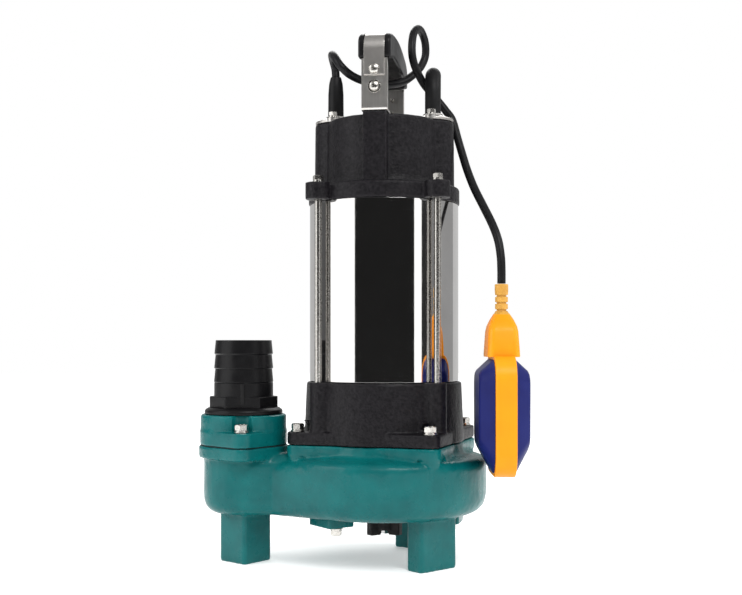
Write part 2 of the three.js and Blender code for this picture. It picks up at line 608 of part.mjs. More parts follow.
for (const [side, name] of [[-1, 'front'], [1, 'rear']]) {
  const boltSeat = COVER.top + GAP + BRACKET.foot;
  place(`handle_bracket_${name}`, handleBracket(side), 'brushed_steel', head);
  const footBolt = hexBolt(0, side * BRACKET.boltReach, boltSeat, 380, 8, 2.4);
  place(`bracket_bolt_${name}`, footBolt, 'zinc_steel', head);
  const lower = panScrew(side, SCREWS.lower, BRACKET.outer);
  const upper = panScrew(side, SCREWS.upper, STRAP.side + STRAP.thickness);
  place(`handle_screw_${name}_lower`, lower, 'zinc_steel', head);
  place(`handle_screw_${name}_upper`, upper, 'zinc_steel', head);
}
place('handle_grip', handleGrip(), 'black_plastic', head);
place('handle_strap', handleStrap(), 'mirror_steel', head);

// ---------------------------------------------------------------- cable glands
function glandPlate(x) {
  const bottom = COVER.top + GAP;
  const plate = post(GLAND.plate, bottom, bottom + GLAND.plateHeight, x, 0, 24);
  const collar = post(8.9, bottom + 1, bottom + GLAND.plateHeight + 2.2, x, 0, 20);
  const holes = [-1, 1].map((end) => post(HOLE.m5, bottom - 1, bottom + 9, x, end * GLAND.screwReach));
  return cut(join(plate, collar), post(GLAND.boot + GAP, bottom - 1, bottom + 9, x, 0, 14), ...holes);
}

for (const [side, name] of [[-1, 'float'], [1, 'mains']]) {
  const x = side * GLAND.reach;
  const seat = COVER.top + GAP + GLAND.plateHeight;
  place(`${name}_gland_plate`, glandPlate(x), 'brushed_steel', head);
  for (const [end, position] of [[-1, 'front'], [1, 'rear']]) {
    const screw = hexBolt(x, end * GLAND.screwReach, seat, 380, 7, 2.4);
    place(`${name}_gland_screw_${position}`, screw, 'zinc_steel', head);
  }
}
const [floatBootX, floatBootY] = around(GLAND.reach, 180 + HEAD_YAW);
place('float_cable_boot', post(GLAND.boot, 381, 433.6, floatBootX, floatBootY, 14), 'black_rubber');
place('mains_cable_boot', cord(MAINS_BOOT, 2 * GLAND.boot, 14), 'black_rubber');

// ---------------------------------------------------------------- cables
function mainsCoil() {
  const { front, layers, turns, innermost } = COIL;
  const outer = innermost + (turns - 0.5) * MAINS_CABLE + 0.4;
  const inner = innermost - MAINS_CABLE / 2 - 0.4;
  const depth = layers * MAINS_CABLE + 0.6;
  return ring(inner, outer, 0, depth, 28).rotate([-90, 0, 0]).translate([COIL.x, front, COIL.z]);
}

// The plug hangs below the coil with its pins down.
function mainsPlug() {
  const bodyTop = PLUG.top - PLUG.relief;
  const bottom = bodyTop - PLUG.length;
  const body = turned([
    [0, bottom], [PLUG.radius, bottom], [PLUG.radius, bottom + 14], [PLUG.radius - 5, bottom + 27],
    [7.5, bodyTop], [5, PLUG.top], [0, PLUG.top],
  ], 16).translate([PLUG.x, PLUG.y, 0]);
  const pins = [-1, 1].map((side) =>
    post(PLUG.pin, bottom - PLUG.pinLength, bottom + 1, PLUG.x + (side * PLUG.spacing) / 2, PLUG.y, 8));
  return join(body, ...pins);
}

const cords = [
  place('float_cable_upper', cord(FLOAT_CABLE_UPPER, FLOAT_CABLE, 38), 'black_rubber'),
  place('float_cable_lower', cord(FLOAT_CABLE_LOWER, FLOAT_CABLE, 12), 'black_rubber'),
  place('mains_cable', cord(MAINS_CABLE_LEAD, MAINS_CABLE, 10), 'black_rubber'),
  place('mains_coil', mainsCoil(), 'black_rubber'),
  place('mains_plug', mainsPlug(), 'black_rubber'),
];

// ---------------------------------------------------------------- float switch
// An upright rounded rectangle in the float's own YZ plane, at the given x.
function roundedLoop(x, halfWidth, bottom, top, corner, count = 3) {
  const points = [];
  const centres = [
    [halfWidth - corner, bottom + corner, -90], [halfWidth - corner, top - corner, 0],
    [corner - halfWidth, top - corner, 90], [corner - halfWidth, bottom + corner, 180],
  ];
  for (const [y, z, start] of centres) {
    for (let index = 0; index <= count; index += 1) {
      const angle = THREE.MathUtils.degToRad(start + (90 * index) / count);
      points.push([x, y + corner * Math.cos(angle), z + corner * Math.sin(angle)]);
    }
  }
  return points;
}

// One blue half: a tray that is open towards the middle of the float.
function floatShell(side) {
  const { bottom, top, width, thickness, band } = FLOAT;
  const inside = band / 2 + GAP;
  const face = thickness / 2;
  const wall = 2.4;
  const loops = (shrink) => [
    roundedLoop(
      shrink ? inside - 1 : inside, width / 2 - 3 - shrink, bottom + 3 + shrink, top - 3 - shrink, 17,
    ),
    roundedLoop(face - shrink, width / 2 - 13 - shrink, bottom + 25, top - 14, 9),
  ];
  const tray = cut(loft(loops(0)), loft(loops(wall)));
  return side > 0 ? tray : tray.mirror([1, 0, 0]);
}

function floatBand() {
  const { bottom, top, width, band } = FLOAT;
  const slab = (halfWidth, low, high, corner, half) =>
    loft([-half, half].map((x) => roundedLoop(x, halfWidth, low, high, corner)));
  const rim = cut(
    slab(width / 2, bottom, top, 20, band / 2),
    slab(width / 2 - 5, bottom + 5, top - 5, 15, band / 2 + 1),
  );
  const shelf = block(band, width - 8, 150, 152.4);
  const level = (halfX, halfY, height) => [
    [halfX, -halfY, height], [halfX, halfY, height], [-halfX, halfY, height], [-halfX, -halfY, height],
  ];
  const cap = loft([
    level(15.5, 22, top - 0.6), level(15.5, 22, 186), level(13.6, 18, 207), level(7, 8, 217),
  ]);
  const neck = post(5, 215, 243.4, 0, 0, 12);
  return join(rim, shelf, cap, neck);
}

place('float_shell_left', floatShell(-1), 'float_blue', float);
place('float_shell_right', floatShell(1), 'float_blue', float);
place('float_band', floatBand(), 'float_yellow', float);
place('micro_switch', block(12, 28, 152.7, 170, 0, 0), 'black_plastic', float);
const ball = toSolid(new THREE.SphereGeometry(BALL.radius, 12, 8)).translate([0, 0, BALL.height]);
place('float_ball', ball, 'zinc_steel', float);

// ---------------------------------------------------------------- frame
// The origin is at the foot of the pump, in the middle of its box without the free cords.
pump.updateMatrixWorld(true);
const box = new THREE.Box3();
pump.traverse((object) => {
  if (object.isMesh && !cords.includes(object)) box.expandByObject(object, true);
});
pump.position.set(-(box.min.x + box.max.x) / 2, -(box.min.y + box.max.y) / 2, -box.min.z);

export default pump;
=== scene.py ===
# Submersible sewage and sump pump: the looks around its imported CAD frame, in Blender.
# Shapes are drawn in millimetres in the pump's own frame, whose Z axis is the motor axis, with the floor
# at Z 0, and finish_piece() moves them into the row frame in metres.
import math

import bmesh
import bpy
from mathutils import Matrix, Vector, noise


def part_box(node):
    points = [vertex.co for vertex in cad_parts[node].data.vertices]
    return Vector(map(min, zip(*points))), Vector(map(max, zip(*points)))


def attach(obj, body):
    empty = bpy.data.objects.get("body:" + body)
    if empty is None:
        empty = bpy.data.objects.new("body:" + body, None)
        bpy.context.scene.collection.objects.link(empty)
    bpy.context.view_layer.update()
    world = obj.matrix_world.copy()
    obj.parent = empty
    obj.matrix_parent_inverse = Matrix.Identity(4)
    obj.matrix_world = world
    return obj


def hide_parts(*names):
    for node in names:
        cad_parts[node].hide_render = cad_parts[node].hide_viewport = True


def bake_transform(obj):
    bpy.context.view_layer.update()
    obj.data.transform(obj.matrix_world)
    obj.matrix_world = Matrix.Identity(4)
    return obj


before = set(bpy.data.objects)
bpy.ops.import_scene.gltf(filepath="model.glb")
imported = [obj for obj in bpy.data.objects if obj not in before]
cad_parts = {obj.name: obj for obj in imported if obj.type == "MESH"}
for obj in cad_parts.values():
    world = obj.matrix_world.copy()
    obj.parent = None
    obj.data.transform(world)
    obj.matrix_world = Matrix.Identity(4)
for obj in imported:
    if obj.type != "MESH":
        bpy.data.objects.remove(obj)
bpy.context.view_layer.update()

# ---------------------------------------------------------------- frame
MM = 0.001
barrel_low, barrel_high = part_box("motor_barrel")
MOTOR_AXIS = Vector(((barrel_low.x + barrel_high.x) / 2, (barrel_low.y + barrel_high.y) / 2, 0))
TO_ROW = Matrix.Translation(MOTOR_AXIS) @ Matrix.Scale(MM, 4)

BARREL = dict(radius=66.5, wall=2.5, bottom=160, top=316)
VOLUTE = dict(radius=91.5, bottom=43.5, top=93.5, top_edge=10, bottom_edge=14, chamber=78)
FLANGE = dict(side=67.7, reach=84, lug=9, first=67.5, bottom=106, top=117)
DISCHARGE = dict(x=-125.5, elbow=35, bore=25, flange=39.5, ear=11, ear_reach=40, bottom=92.6, top=103.2)
COUNTER = dict(bottom=104, ear_top=116.5, top=130.5, collar=37.8)
HOSE = dict(bore=20.5, base=34.5, hex=30.5, top=196)
SCROLL = dict(x=-100, y=-6, radius=22)
SUCTION = dict(spigot=47.7, bottom=34.7, disc=41, eye=27, reach=60, angles=(138, 258, 18),
               lug_inner=44, lug_outer=70, lugs=((148, 34), (258, 27), (18, 27)))
TIE = dict(reach=72.5, first=56, radius=3.1, lug=11)
FOOT = dict(height=62, square=33, radial=19, tangent=42, angle=54, reach=62.5)
COVER = dict(core=51, rim=67.5, bottom=316.3, rim_top=331, top=390)
GLAND = dict(reach=44, boss=18.5, plate=18.3, screw=14.3, boot=7.1)
BRACKET = dict(width=22, inner=59, outer=61, top=434.5, foot_reach=42, bolt=50)
STRAP = dict(width=17.5, thickness=1.8, side=61.4, end=420, shoulder=442, crown=461)
FLOAT = dict(x=94.8, y=-62.8, yaw=-4.5, bottom=82, top=183, width=80, thickness=42.4, band=17.6)
SCREWS = dict(lower=410.5, upper=424.5)
FLANGE_ANGLES = [FLANGE["first"] + 90 * index for index in range(4)]
TIE_ANGLES = [TIE["first"] + 90 * index for index in range(4)]
ROUND = 128  # segments of a large round
GAP = 0.3  # between pieces that touch
HOLE_M4 = 2.4  # radius of the clearance hole for each bolt size
HOLE_M5 = 2.8
HOLE_M6 = 3.3
HOLE_M8 = 4.3
HOLE_TIE = 3.4
HEAD = Matrix.Rotation(-math.radians(12.5), 4, "Z")  # glands and handle are turned by this
FLOAT_TURN = Matrix.Rotation(math.radians(FLOAT["yaw"]), 4, "Z")
FLOAT_PLACE = Matrix.Translation((FLOAT["x"], FLOAT["y"], 0)) @ FLOAT_TURN

# ---------------------------------------------------------------- camera
CAMERA_YAW = -4.0
CAMERA_OFFSET = Vector((-0.0808, -0.9868, 0.1935))
camera_data = bpy.data.cameras.new("camera")
camera_data.lens = 53.4
camera_data.sensor_width = 36
camera_data.shift_y = 0.0613
camera_data.clip_start = 0.05
camera = bpy.data.objects.new("camera", camera_data)
camera.location = MOTOR_AXIS + CAMERA_OFFSET
camera.rotation_euler = (math.pi / 2, 0, math.radians(CAMERA_YAW))
bpy.context.scene.collection.objects.link(camera)
bpy.context.scene.camera = camera
bpy.context.scene.view_settings.view_transform = "Standard"


# ---------------------------------------------------------------- mesh tools
def new_object(name, vertices, faces):
    mesh = bpy.data.meshes.new(name)
    mesh.from_pydata([tuple(v) for v in vertices], [], faces)
    mesh.validate()
    work = bmesh.new()
    work.from_mesh(mesh)
    bmesh.ops.recalc_face_normals(work, faces=work.faces)
    if work.calc_volume(signed=True) < 0:
        bmesh.ops.reverse_faces(work, faces=work.faces)
    work.to_mesh(mesh)
    work.free()
    obj = bpy.data.objects.new(name, mesh)
    bpy.context.scene.collection.objects.link(obj)
    return obj


def discard(obj):
    mesh = obj.data
    bpy.data.objects.remove(obj)
    bpy.data.meshes.remove(mesh)


def apply_modifiers(obj):
    graph = bpy.context.evaluated_depsgraph_get()
    mesh = bpy.data.meshes.new_from_object(obj.evaluated_get(graph))
    old = obj.data
    obj.modifiers.clear()
    obj.data = mesh
    bpy.data.meshes.remove(old)
    return obj


def combine(base, others, operation):
    for other in others:
        modifier = base.modifiers.new(operation, "BOOLEAN")
        modifier.operation = operation
        modifier.object = other
        modifier.solver = "MANIFOLD"
    apply_modifiers(base)
    for other in others:
        discard(other)
    return base


def join(base, *others):
    return combine(base, others, "UNION")


def cut(base, *others):
    return combine(base, others, "DIFFERENCE")


def moved(obj, matrix):
    obj.data.transform(matrix)
    if matrix.determinant() < 0:
        obj.data.flip_normals()
    return obj


def shifted(obj, x=0.0, y=0.0, z=0.0):
    return moved(obj, Matrix.Translation((x, y, z)))


# Corners of an outline turned into short curves.  A corner is (a, b) or (a, b, radius).
def softened(corners, radius=1.0, steps=4, closed=True):
    points = []
    count = len(corners)
    for index, corner in enumerate(corners):
        here = Vector(corner[:2])
        size = corner[2] if len(corner) > 2 else radius
        if not closed and index in (0, count - 1) or size <= 0:
            points.append(here)
            continue
        before = Vector(corners[index - 1][:2])
        after = Vector(corners[(index + 1) % count][:2])
        into = before - here
        out = after - here
        reach = min(size, 0.45 * into.length, 0.45 * out.length)
        start = here + into.normalized() * reach
        end = here + out.normalized() * reach
        for step in range(steps + 1):
            t = step / steps
            points.append((1 - t) ** 2 * start + 2 * t * (1 - t) * here + t * t * end)
    return points


# A solid of revolution about Z.  An open profile starts and ends on the axis, a closed one stays off it.
def lathe(profile, segments=ROUND, name="lathe"):
    vertices = []
    rings = []
    for radius, height in (tuple(point)[:2] for point in profile):
        if radius < 1e-6:
            rings.append([len(vertices)])
            vertices.append((0, 0, height))
            continue
        rings.append(list(range(len(vertices), len(vertices) + segments)))
        for index in range(segments):
            angle = 2 * math.pi * index / segments
            vertices.append((radius * math.cos(angle), radius * math.sin(angle), height))
    faces = []
    closed = len(rings[0]) > 1
    for index in range(len(rings) - (0 if closed else 1)):
        low = rings[index]
        high = rings[(index + 1) % len(rings)]
        for side in range(segments):
            after = (side + 1) % segments
            if len(low) == 1:
                faces.append((low[0], high[after], high[side]))
            elif len(high) == 1:
                faces.append((low[side], low[after], high[0]))
            else:
                faces.append((low[side], low[after], high[after], high[side]))
    return new_object(name, vertices, faces)


# A solid of revolution from an open profile with softened corners.
def spun(profile, steps=4, segments=ROUND):
    return lathe(softened(profile, 0, steps, closed=False), segments)


# An upright prism over an outline, from bottom to top.
def prism(outline, bottom, top, name="prism"):
    count = len(outline)
    vertices = [(x, y, bottom) for x, y in outline] + [(x, y, top) for x, y in outline]
    faces = [tuple(reversed(range(count))), tuple(range(count, 2 * count))]
    faces += [(i, (i + 1) % count, count + (i + 1) % count, count + i) for i in range(count)]
    return new_object(name, vertices, faces)


# A prism over an outline of (y, z) points, across X.
def crosswise(outline, width, name="crosswise"):
    turn = Matrix(((0, 0, 1, 0), (1, 0, 0, 0), (0, 1, 0, 0), (0, 0, 0, 1)))
    return moved(prism(outline, -width / 2, width / 2, name), turn)


def rectangle(size_x, size_y, radius=0.0):
    x = size_x / 2
    y = size_y / 2
    corners = [(-x, -y), (x, -y), (x, y), (-x, y)]
    return softened(corners, radius, 5) if radius else corners


def block(size_x, size_y, bottom, top, x=0.0, y=0.0, degrees=0.0, radius=0.0):
    place = Matrix.Translation((x, y, 0)) @ Matrix.Rotation(math.radians(degrees), 4, "Z")
    return moved(prism(rectangle(size_x, size_y, radius), bottom, top), place)


def post(radius, bottom, top, x=0.0, y=0.0, segments=48):
    return shifted(lathe([(0, bottom), (radius, bottom), (radius, top), (0, top)], segments), x, y)


# A body through loops of points, with flat ends.
def loft(loops, name="loft"):
    count = len(loops[0])
    vertices = [point for loop in loops for point in loop]
    faces = [tuple(reversed(range(count))), tuple(range(count * (len(loops) - 1), count * len(loops)))]
    for level in range(len(loops) - 1):
        first = level * count
        for i in range(count):
            j = (i + 1) % count
            faces.append((first + i, first + j, first + count + j, first + count + i))
    return new_object(name, vertices, faces)


def around(reach, degrees):
    angle = math.radians(degrees)
    return reach * math.cos(angle), -reach * math.sin(angle)


def arc(x, y, radius, start, end, steps=12):
    return [
        (x + radius * math.cos(start + (end - start) * i / steps),
         y + radius * math.sin(start + (end - start) * i / steps))
        for i in range(steps + 1)
    ]


# The points of an outline that are further than a least distance from the one kept before them.
def spaced(points, least):
    kept = [points[0]]
    for point in points[1:]:
        if (Vector(point) - Vector(kept[-1])).length > least:
            kept.append(point)
    return kept


def hexagon(reach):
    return [(reach * math.cos(math.pi / 3 * i), reach * math.sin(math.pi / 3 * i)) for i in range(6)]


# Posts at the same reach from the axis, one for each angle.
def posts(radius, bottom, top, reach, angles):
    return [post(radius, bottom, top, *around(reach, degrees)) for degrees in angles]


# A round plate whose edge runs out in tangents to evenly spaced round lugs.
def lugged(side, reach, lug, angles):
    pitch = 2 * math.pi / len(angles)
    spread = min(math.acos((side - lug) / reach), pitch / 2)
    outline = []
    for degrees in reversed(angles):
        x, y = around(reach, degrees)
        middle = math.atan2(y, x)
        outline += arc(x, y, lug, middle - spread, middle + spread, 16)
        if spread < pitch / 2 - 0.01:
            outline += arc(0, 0, side, middle + spread, middle + pitch - spread, 20)
    return spaced(outline, 0.05)


# A casting: the solid's corners are rounded by a fine remesh, and its skin gets the slight waves of a
# sand mould.
def cast(obj, voxel, waves=0.12, smoothing=4, keep=1.0):
    remesh = obj.modifiers.new("remesh", "REMESH")
    remesh.mode = "VOXEL"
    remesh.voxel_size = voxel
    smooth = obj.modifiers.new("smooth", "SMOOTH")
    smooth.factor = 0.5
    smooth.iterations = smoothing
    if keep < 1:
        thin = obj.modifiers.new("thin", "DECIMATE")
        thin.ratio = keep
    apply_modifiers(obj)
    vertices = obj.data.vertices
    places = [vertex.co.copy() for vertex in vertices]
    normals = [vertex.normal.copy() for vertex in vertices]
    flat = []
    for place, normal in zip(places, normals):
        amount = noise.noise(place * 0.16) + 0.5 * noise.noise(place * 0.41)
        flat.extend(place + normal * waves * amount)
    vertices.foreach_set("co", flat)
    obj.data.update()
    return obj


# The tightest convex body round some shapes.
def hull_of(*shapes):
    work = bmesh.new()
    for shape in shapes:
        work.from_mesh(shape.data)
    made = bmesh.ops.convex_hull(work, input=work.verts)
    inside = [item for item in made["geom_interior"] if isinstance(item, bmesh.types.BMVert)]
    bmesh.ops.delete(work, geom=inside, context="VERTS")
    skin = {face for face in made["geom"] if isinstance(face, bmesh.types.BMFace)}
    left = [face for face in work.faces if face not in skin]
    bmesh.ops.delete(work, geom=left, context="FACES")
    vertices = [vertex.co.copy() for vertex in work.verts]
    work.verts.index_update()
    faces = [tuple(vertex.index for vertex in face.verts) for face in work.faces]
    work.free()
    return new_object("hull", vertices, faces)


def beveled(obj, width, segments=3, degrees=40):
    modifier = obj.modifiers.new("bevel", "BEVEL")
    modifier.width = width
    modifier.segments = segments
    modifier.limit_method = "ANGLE"
    modifier.angle_limit = math.radians(degrees)
    return apply_modifiers(obj)


# A round tube of a given radius at each point of a line, with closed ends.
def tube(points, radii, sides=20, name="tube"):
    points = [Vector(point) for point in points]
    if not hasattr(radii, "__len__"):
        radii = [radii] * len(points)
    loops = []
    side = None
    for index, point in enumerate(points):
        along = (points[min(index + 1, len(points) - 1)] - points[max(index - 1, 0)]).normalized()
        if side is None:
            side = along.orthogonal().normalized()
        side = (side - along * side.dot(along)).normalized()
        up = along.cross(side)
        loop = []
        for step in range(sides):
            angle = 2 * math.pi * step / sides
            loop.append(point + (side * math.cos(angle) + up * math.sin(angle)) * radii[index])
        loops.append(loop)
    return loft(loops, name)


# A smooth line through the given points, as many as steps for each span.
def smooth_line(points, steps=6):
    points = [Vector(point) for point in points]
    ends = [2 * points[0] - points[1]] + points + [2 * points[-1] - points[-2]]
    line = []
    for index in range(len(points) - 1):
        a, b, c, d = ends[index:index + 4]
        for step in range(steps):
            t = step / steps
            line.append(0.5 * (2 * b + (c - a) * t + (2 * a - 5 * b + 4 * c - d) * t * t
                               + (3 * b - a - 3 * c + d) * t ** 3))
    line.append(points[-1])
    return line


# Smooth shading with sharp creases.  Weighted normals keep broad faces flat beside their small roundings.
def shade(obj, degrees=30, weighted=False):
    mesh = obj.data
    mesh.polygons.foreach_set("use_smooth", [True] * len(mesh.polygons))
    mesh.set_sharp_from_angle(angle=math.radians(degrees))
    if weighted:
        modifier = obj.modifiers.new("weighted", "WEIGHTED_NORMAL")
        modifier.keep_sharp = True
        apply_modifiers(obj)


# Moves a drawn shape into the row frame, names it and hands it to a body in place of its CAD nodes.
def finish_piece(obj, name, material, body, replaced, place=None, degrees=30, blend=False):
    if place is not None:
        moved(obj, place)
    moved(obj, TO_ROW)
    obj.name = name
    obj.data.name = name
    obj.data.materials.clear()
    obj.data.materials.append(material)
    shade(obj, degrees, weighted=material not in CAST_SKINS and not blend)
    if not blend:
        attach(obj, body)
    if replaced:
        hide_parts(*replaced)
    return obj


# ---------------------------------------------------------------- materials
# A procedural surface: two colours mottled together, a painted highlight that lightens sharp convex edges
# found from the mesh's own shape, a roughness that varies, and bump from one or more grains of (size in mm,
# height in mm, strength).
def surface(name, light, dark, rough, metallic=0.0, rough_spread=0.06, blotch=14.0, grains=(),
            stretch=(1, 1, 1), edge=None, edge_highlight_amount=0.5, specular=0.5, coat=0.0):
    material = bpy.data.materials.new(name)
    material.use_nodes = True
    tree = material.node_tree
    nodes = tree.nodes
    shader = nodes["Principled BSDF"]
    shader.inputs["Metallic"].default_value = metallic
    shader.inputs["Specular IOR Level"].default_value = specular
    shader.inputs["Coat Weight"].default_value = coat
    shader.inputs["Coat Roughness"].default_value = 0.12
    place = nodes.new("ShaderNodeTexCoord").outputs["Object"]
    mapping = nodes.new("ShaderNodeMapping")
    mapping.inputs["Scale"].default_value = stretch
    tree.links.new(place, mapping.inputs["Vector"])

    def grain(size, detail=3.0, source=None):
        texture = nodes.new("ShaderNodeTexNoise")
        texture.inputs["Scale"].default_value = 1 / (size * MM)
        texture.inputs["Detail"].default_value = detail
        tree.links.new(source or mapping.outputs["Vector"], texture.inputs["Vector"])
        return texture.outputs["Fac"]

    mottle = grain(blotch)
    colour = nodes.new("ShaderNodeMix")
    colour.data_type = "RGBA"
    spread = nodes.new("ShaderNodeMapRange")
    spread.inputs["From Min"].default_value = 0.32
    spread.inputs["From Max"].default_value = 0.68
    tree.links.new(mottle, spread.inputs["Value"])
    tree.links.new(spread.outputs["Result"], colour.inputs["Factor"])
    colour.inputs["A"].default_value = (*dark, 1)
    colour.inputs["B"].default_value = (*light, 1)
    painted = colour.outputs["Result"]
    # Painted highlight: sharp convex edges, found from the mesh's pointiness, are lightened towards the edge
    # colour.
    if edge is not None:
        pointed = nodes.new("ShaderNodeNewGeometry").outputs["Pointiness"]
        edge_highlight = nodes.new("ShaderNodeMapRange")
        edge_highlight.inputs["From Min"].default_value = 0.515
        edge_highlight.inputs["From Max"].default_value = 0.60
        edge_highlight.inputs["To Max"].default_value = edge_highlight_amount
        tree.links.new(pointed, edge_highlight.inputs["Value"])
        rim = nodes.new("ShaderNodeMix")
        rim.data_type = "RGBA"
        rim.inputs["B"].default_value = (*edge, 1)
        tree.links.new(edge_highlight.outputs["Result"], rim.inputs["Factor"])
        tree.links.new(painted, rim.inputs["A"])
        painted = rim.outputs["Result"]
    tree.links.new(painted, shader.inputs["Base Color"])

    gloss = nodes.new("ShaderNodeMapRange")
    gloss.inputs["From Min"].default_value = 0.25
    gloss.inputs["From Max"].default_value = 0.75
    gloss.inputs["To Min"].default_value = rough - rough_spread
    gloss.inputs["To Max"].default_value = rough + rough_spread
    tree.links.new(grain(blotch * 0.45, 4.0, place), gloss.inputs["Value"])
    tree.links.new(gloss.outputs["Result"], shader.inputs["Roughness"])

    normal = None
    for size, height, strength in grains:
        bump = nodes.new("ShaderNodeBump")
        bump.inputs["Strength"].default_value = strength
        bump.inputs["Distance"].default_value = height * MM
        tree.links.new(grain(size), bump.inputs["Height"])
        if normal is not None:
            tree.links.new(normal, bump.inputs["Normal"])
        normal = bump.outputs["Normal"]
    if normal is not None:
        tree.links.new(normal, shader.inputs["Normal"])
    return material


# Each edge colour below is a painted highlight on that surface's sharp convex edges.
SAND_CAST = ((1.9, 0.55, 1.0), (6.0, 0.6, 0.5))
green_paint = surface("green_paint", (0.001, 0.112, 0.112), (0.0005, 0.084, 0.086), 0.30, rough_spread=0.07,
                      blotch=22, grains=((2.2, 0.16, 0.55), (7.0, 0.5, 0.5)), edge=(0.01, 0.18, 0.18),
                      edge_highlight_amount=0.45, specular=0.22)
black_casting = surface("black_casting", (0.0115, 0.0102, 0.0122), (0.003, 0.0025, 0.0036), 0.42,
                        rough_spread=0.12, blotch=2.6, grains=SAND_CAST, edge=(0.022, 0.02, 0.023),
                        specular=0.17)
bare_iron = surface("bare_iron", (0.022, 0.019, 0.019), (0.009, 0.008, 0.009), 0.55, metallic=0.2, blotch=9,
                    grains=SAND_CAST, edge=(0.05, 0.045, 0.04), specular=0.25)
black_plastic = surface("black_plastic", (0.0052, 0.005, 0.0056), (0.0035, 0.0034, 0.004), 0.36, blotch=18,
                        grains=((0.8, 0.05, 0.35),), edge=(0.02, 0.02, 0.02), edge_highlight_amount=0.3, specular=0.2)
gasket_fibre = surface("gasket_fibre", (0.02, 0.02, 0.02), (0.01, 0.01, 0.01), 0.85, blotch=2,
                       grains=((0.5, 0.1, 0.6),))
mirror_steel = surface("mirror_steel", (0.80, 0.79, 0.78), (0.74, 0.73, 0.72), 0.055, metallic=1.0,
                       rough_spread=0.02, blotch=30, grains=((60, 0.05, 0.05),))
brushed_steel = surface("brushed_steel", (0.62, 0.60, 0.57), (0.46, 0.44, 0.42), 0.34, metallic=1.0,
                        blotch=2.5, stretch=(1, 1, 0.06), grains=((0.5, 0.02, 0.35),),
                        edge=(0.8, 0.78, 0.75))
ground_steel = surface("ground_steel", (0.6, 0.6, 0.6), (0.5, 0.5, 0.5), 0.25, metallic=1.0, blotch=3,
                       stretch=(1, 1, 8), grains=((0.5, 0.02, 0.3),))
zinc_steel = surface("zinc_steel", (0.66, 0.64, 0.60), (0.50, 0.48, 0.45), 0.25, metallic=1.0, blotch=2.0,
                     grains=((0.8, 0.04, 0.15),), edge=(0.85, 0.83, 0.8))
can_aluminium = surface("can_aluminium", (0.62, 0.62, 0.63), (0.5, 0.5, 0.52), 0.32, metallic=1.0, blotch=4,
                        stretch=(0.1, 1, 1), grains=((0.6, 0.03, 0.4),))
ceramic = surface("ceramic", (0.6, 0.57, 0.5), (0.5, 0.47, 0.4), 0.3, blotch=3, grains=((0.6, 0.02, 0.3),))
laminations = surface("laminations", (0.16, 0.165, 0.17), (0.07, 0.072, 0.075), 0.45, metallic=0.8,
                      blotch=0.5, stretch=(0.02, 0.02, 1), grains=((0.5, 0.1, 0.7),))
copper_wire = surface("copper_wire", (0.5, 0.19, 0.07), (0.3, 0.09, 0.03), 0.3, metallic=0.9, blotch=1.2,
                      stretch=(0.1, 0.1, 1), grains=((0.9, 0.25, 0.8),), coat=0.6)
float_blue = surface("float_blue", (0.010, 0.014, 0.105), (0.008, 0.010, 0.082), 0.36, blotch=26,
                     grains=((0.9, 0.04, 0.3), (16, 0.3, 0.2)), edge=(0.03, 0.05, 0.24), edge_highlight_amount=0.5,
                     specular=0.1)
float_yellow = surface("float_yellow", (0.82, 0.262, 0.001), (0.76, 0.232, 0.001), 0.38, blotch=26,
                       grains=((0.9, 0.04, 0.3), (16, 0.3, 0.2)), edge=(0.95, 0.42, 0.03), edge_highlight_amount=0.5,
                       specular=0.16)
relief_yellow = surface("relief_yellow", (0.58, 0.29, 0.03), (0.46, 0.22, 0.02), 0.5, blotch=6,
                        grains=((0.8, 0.06, 0.4),), edge=(0.7, 0.45, 0.1))
black_rubber = surface("black_rubber", (0.0068, 0.0066, 0.0074), (0.004, 0.004, 0.0045), 0.5, blotch=9,
                       grains=((0.7, 0.06, 0.4),), edge=(0.02, 0.02, 0.02), edge_highlight_amount=0.3, specular=0.2)
cable_rubber = surface("cable_rubber", (0.0068, 0.0066, 0.0076), (0.004, 0.004, 0.0046), 0.42, blotch=12,
                       grains=((0.6, 0.05, 0.35),), specular=0.2)
tie_nylon = surface("tie_nylon", (0.02, 0.02, 0.02), (0.012, 0.012, 0.012), 0.4, blotch=3,
                    grains=((0.5, 0.03, 0.3),))
brass_pins = surface("brass_pins", (0.78, 0.74, 0.66), (0.66, 0.62, 0.54), 0.2, metallic=1.0, blotch=3,
                     grains=((0.5, 0.02, 0.3),))

# The strap's light edge colour paints a highlight on its edges and crown.
strap_steel = surface("strap_steel", (0.70, 0.67, 0.64), (0.60, 0.57, 0.54), 0.33, metallic=1.0, blotch=6,
                      rough_spread=0.02, grains=((0.5, 0.01, 0.15),), edge=(0.9, 0.88, 0.85))
CAST_SKINS = (green_paint, black_casting, bare_iron)
CAD_FINISH = {
    "seal_seat": ceramic, "seal_head": ground_steel, "lower_bearing": ground_steel,
    "upper_bearing": ground_steel, "shaft": ground_steel, "rotor_core": laminations,
    "stator_core": laminations, "stator_winding": copper_wire, "capacitor": can_aluminium,
    "micro_switch": black_plastic, "float_ball": ground_steel,
}
for node_name, node_material in CAD_FINISH.items():
    node_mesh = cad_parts[node_name].data
    node_mesh.materials.clear()
    node_mesh.materials.append(node_material)
    shade(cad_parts[node_name], 35)

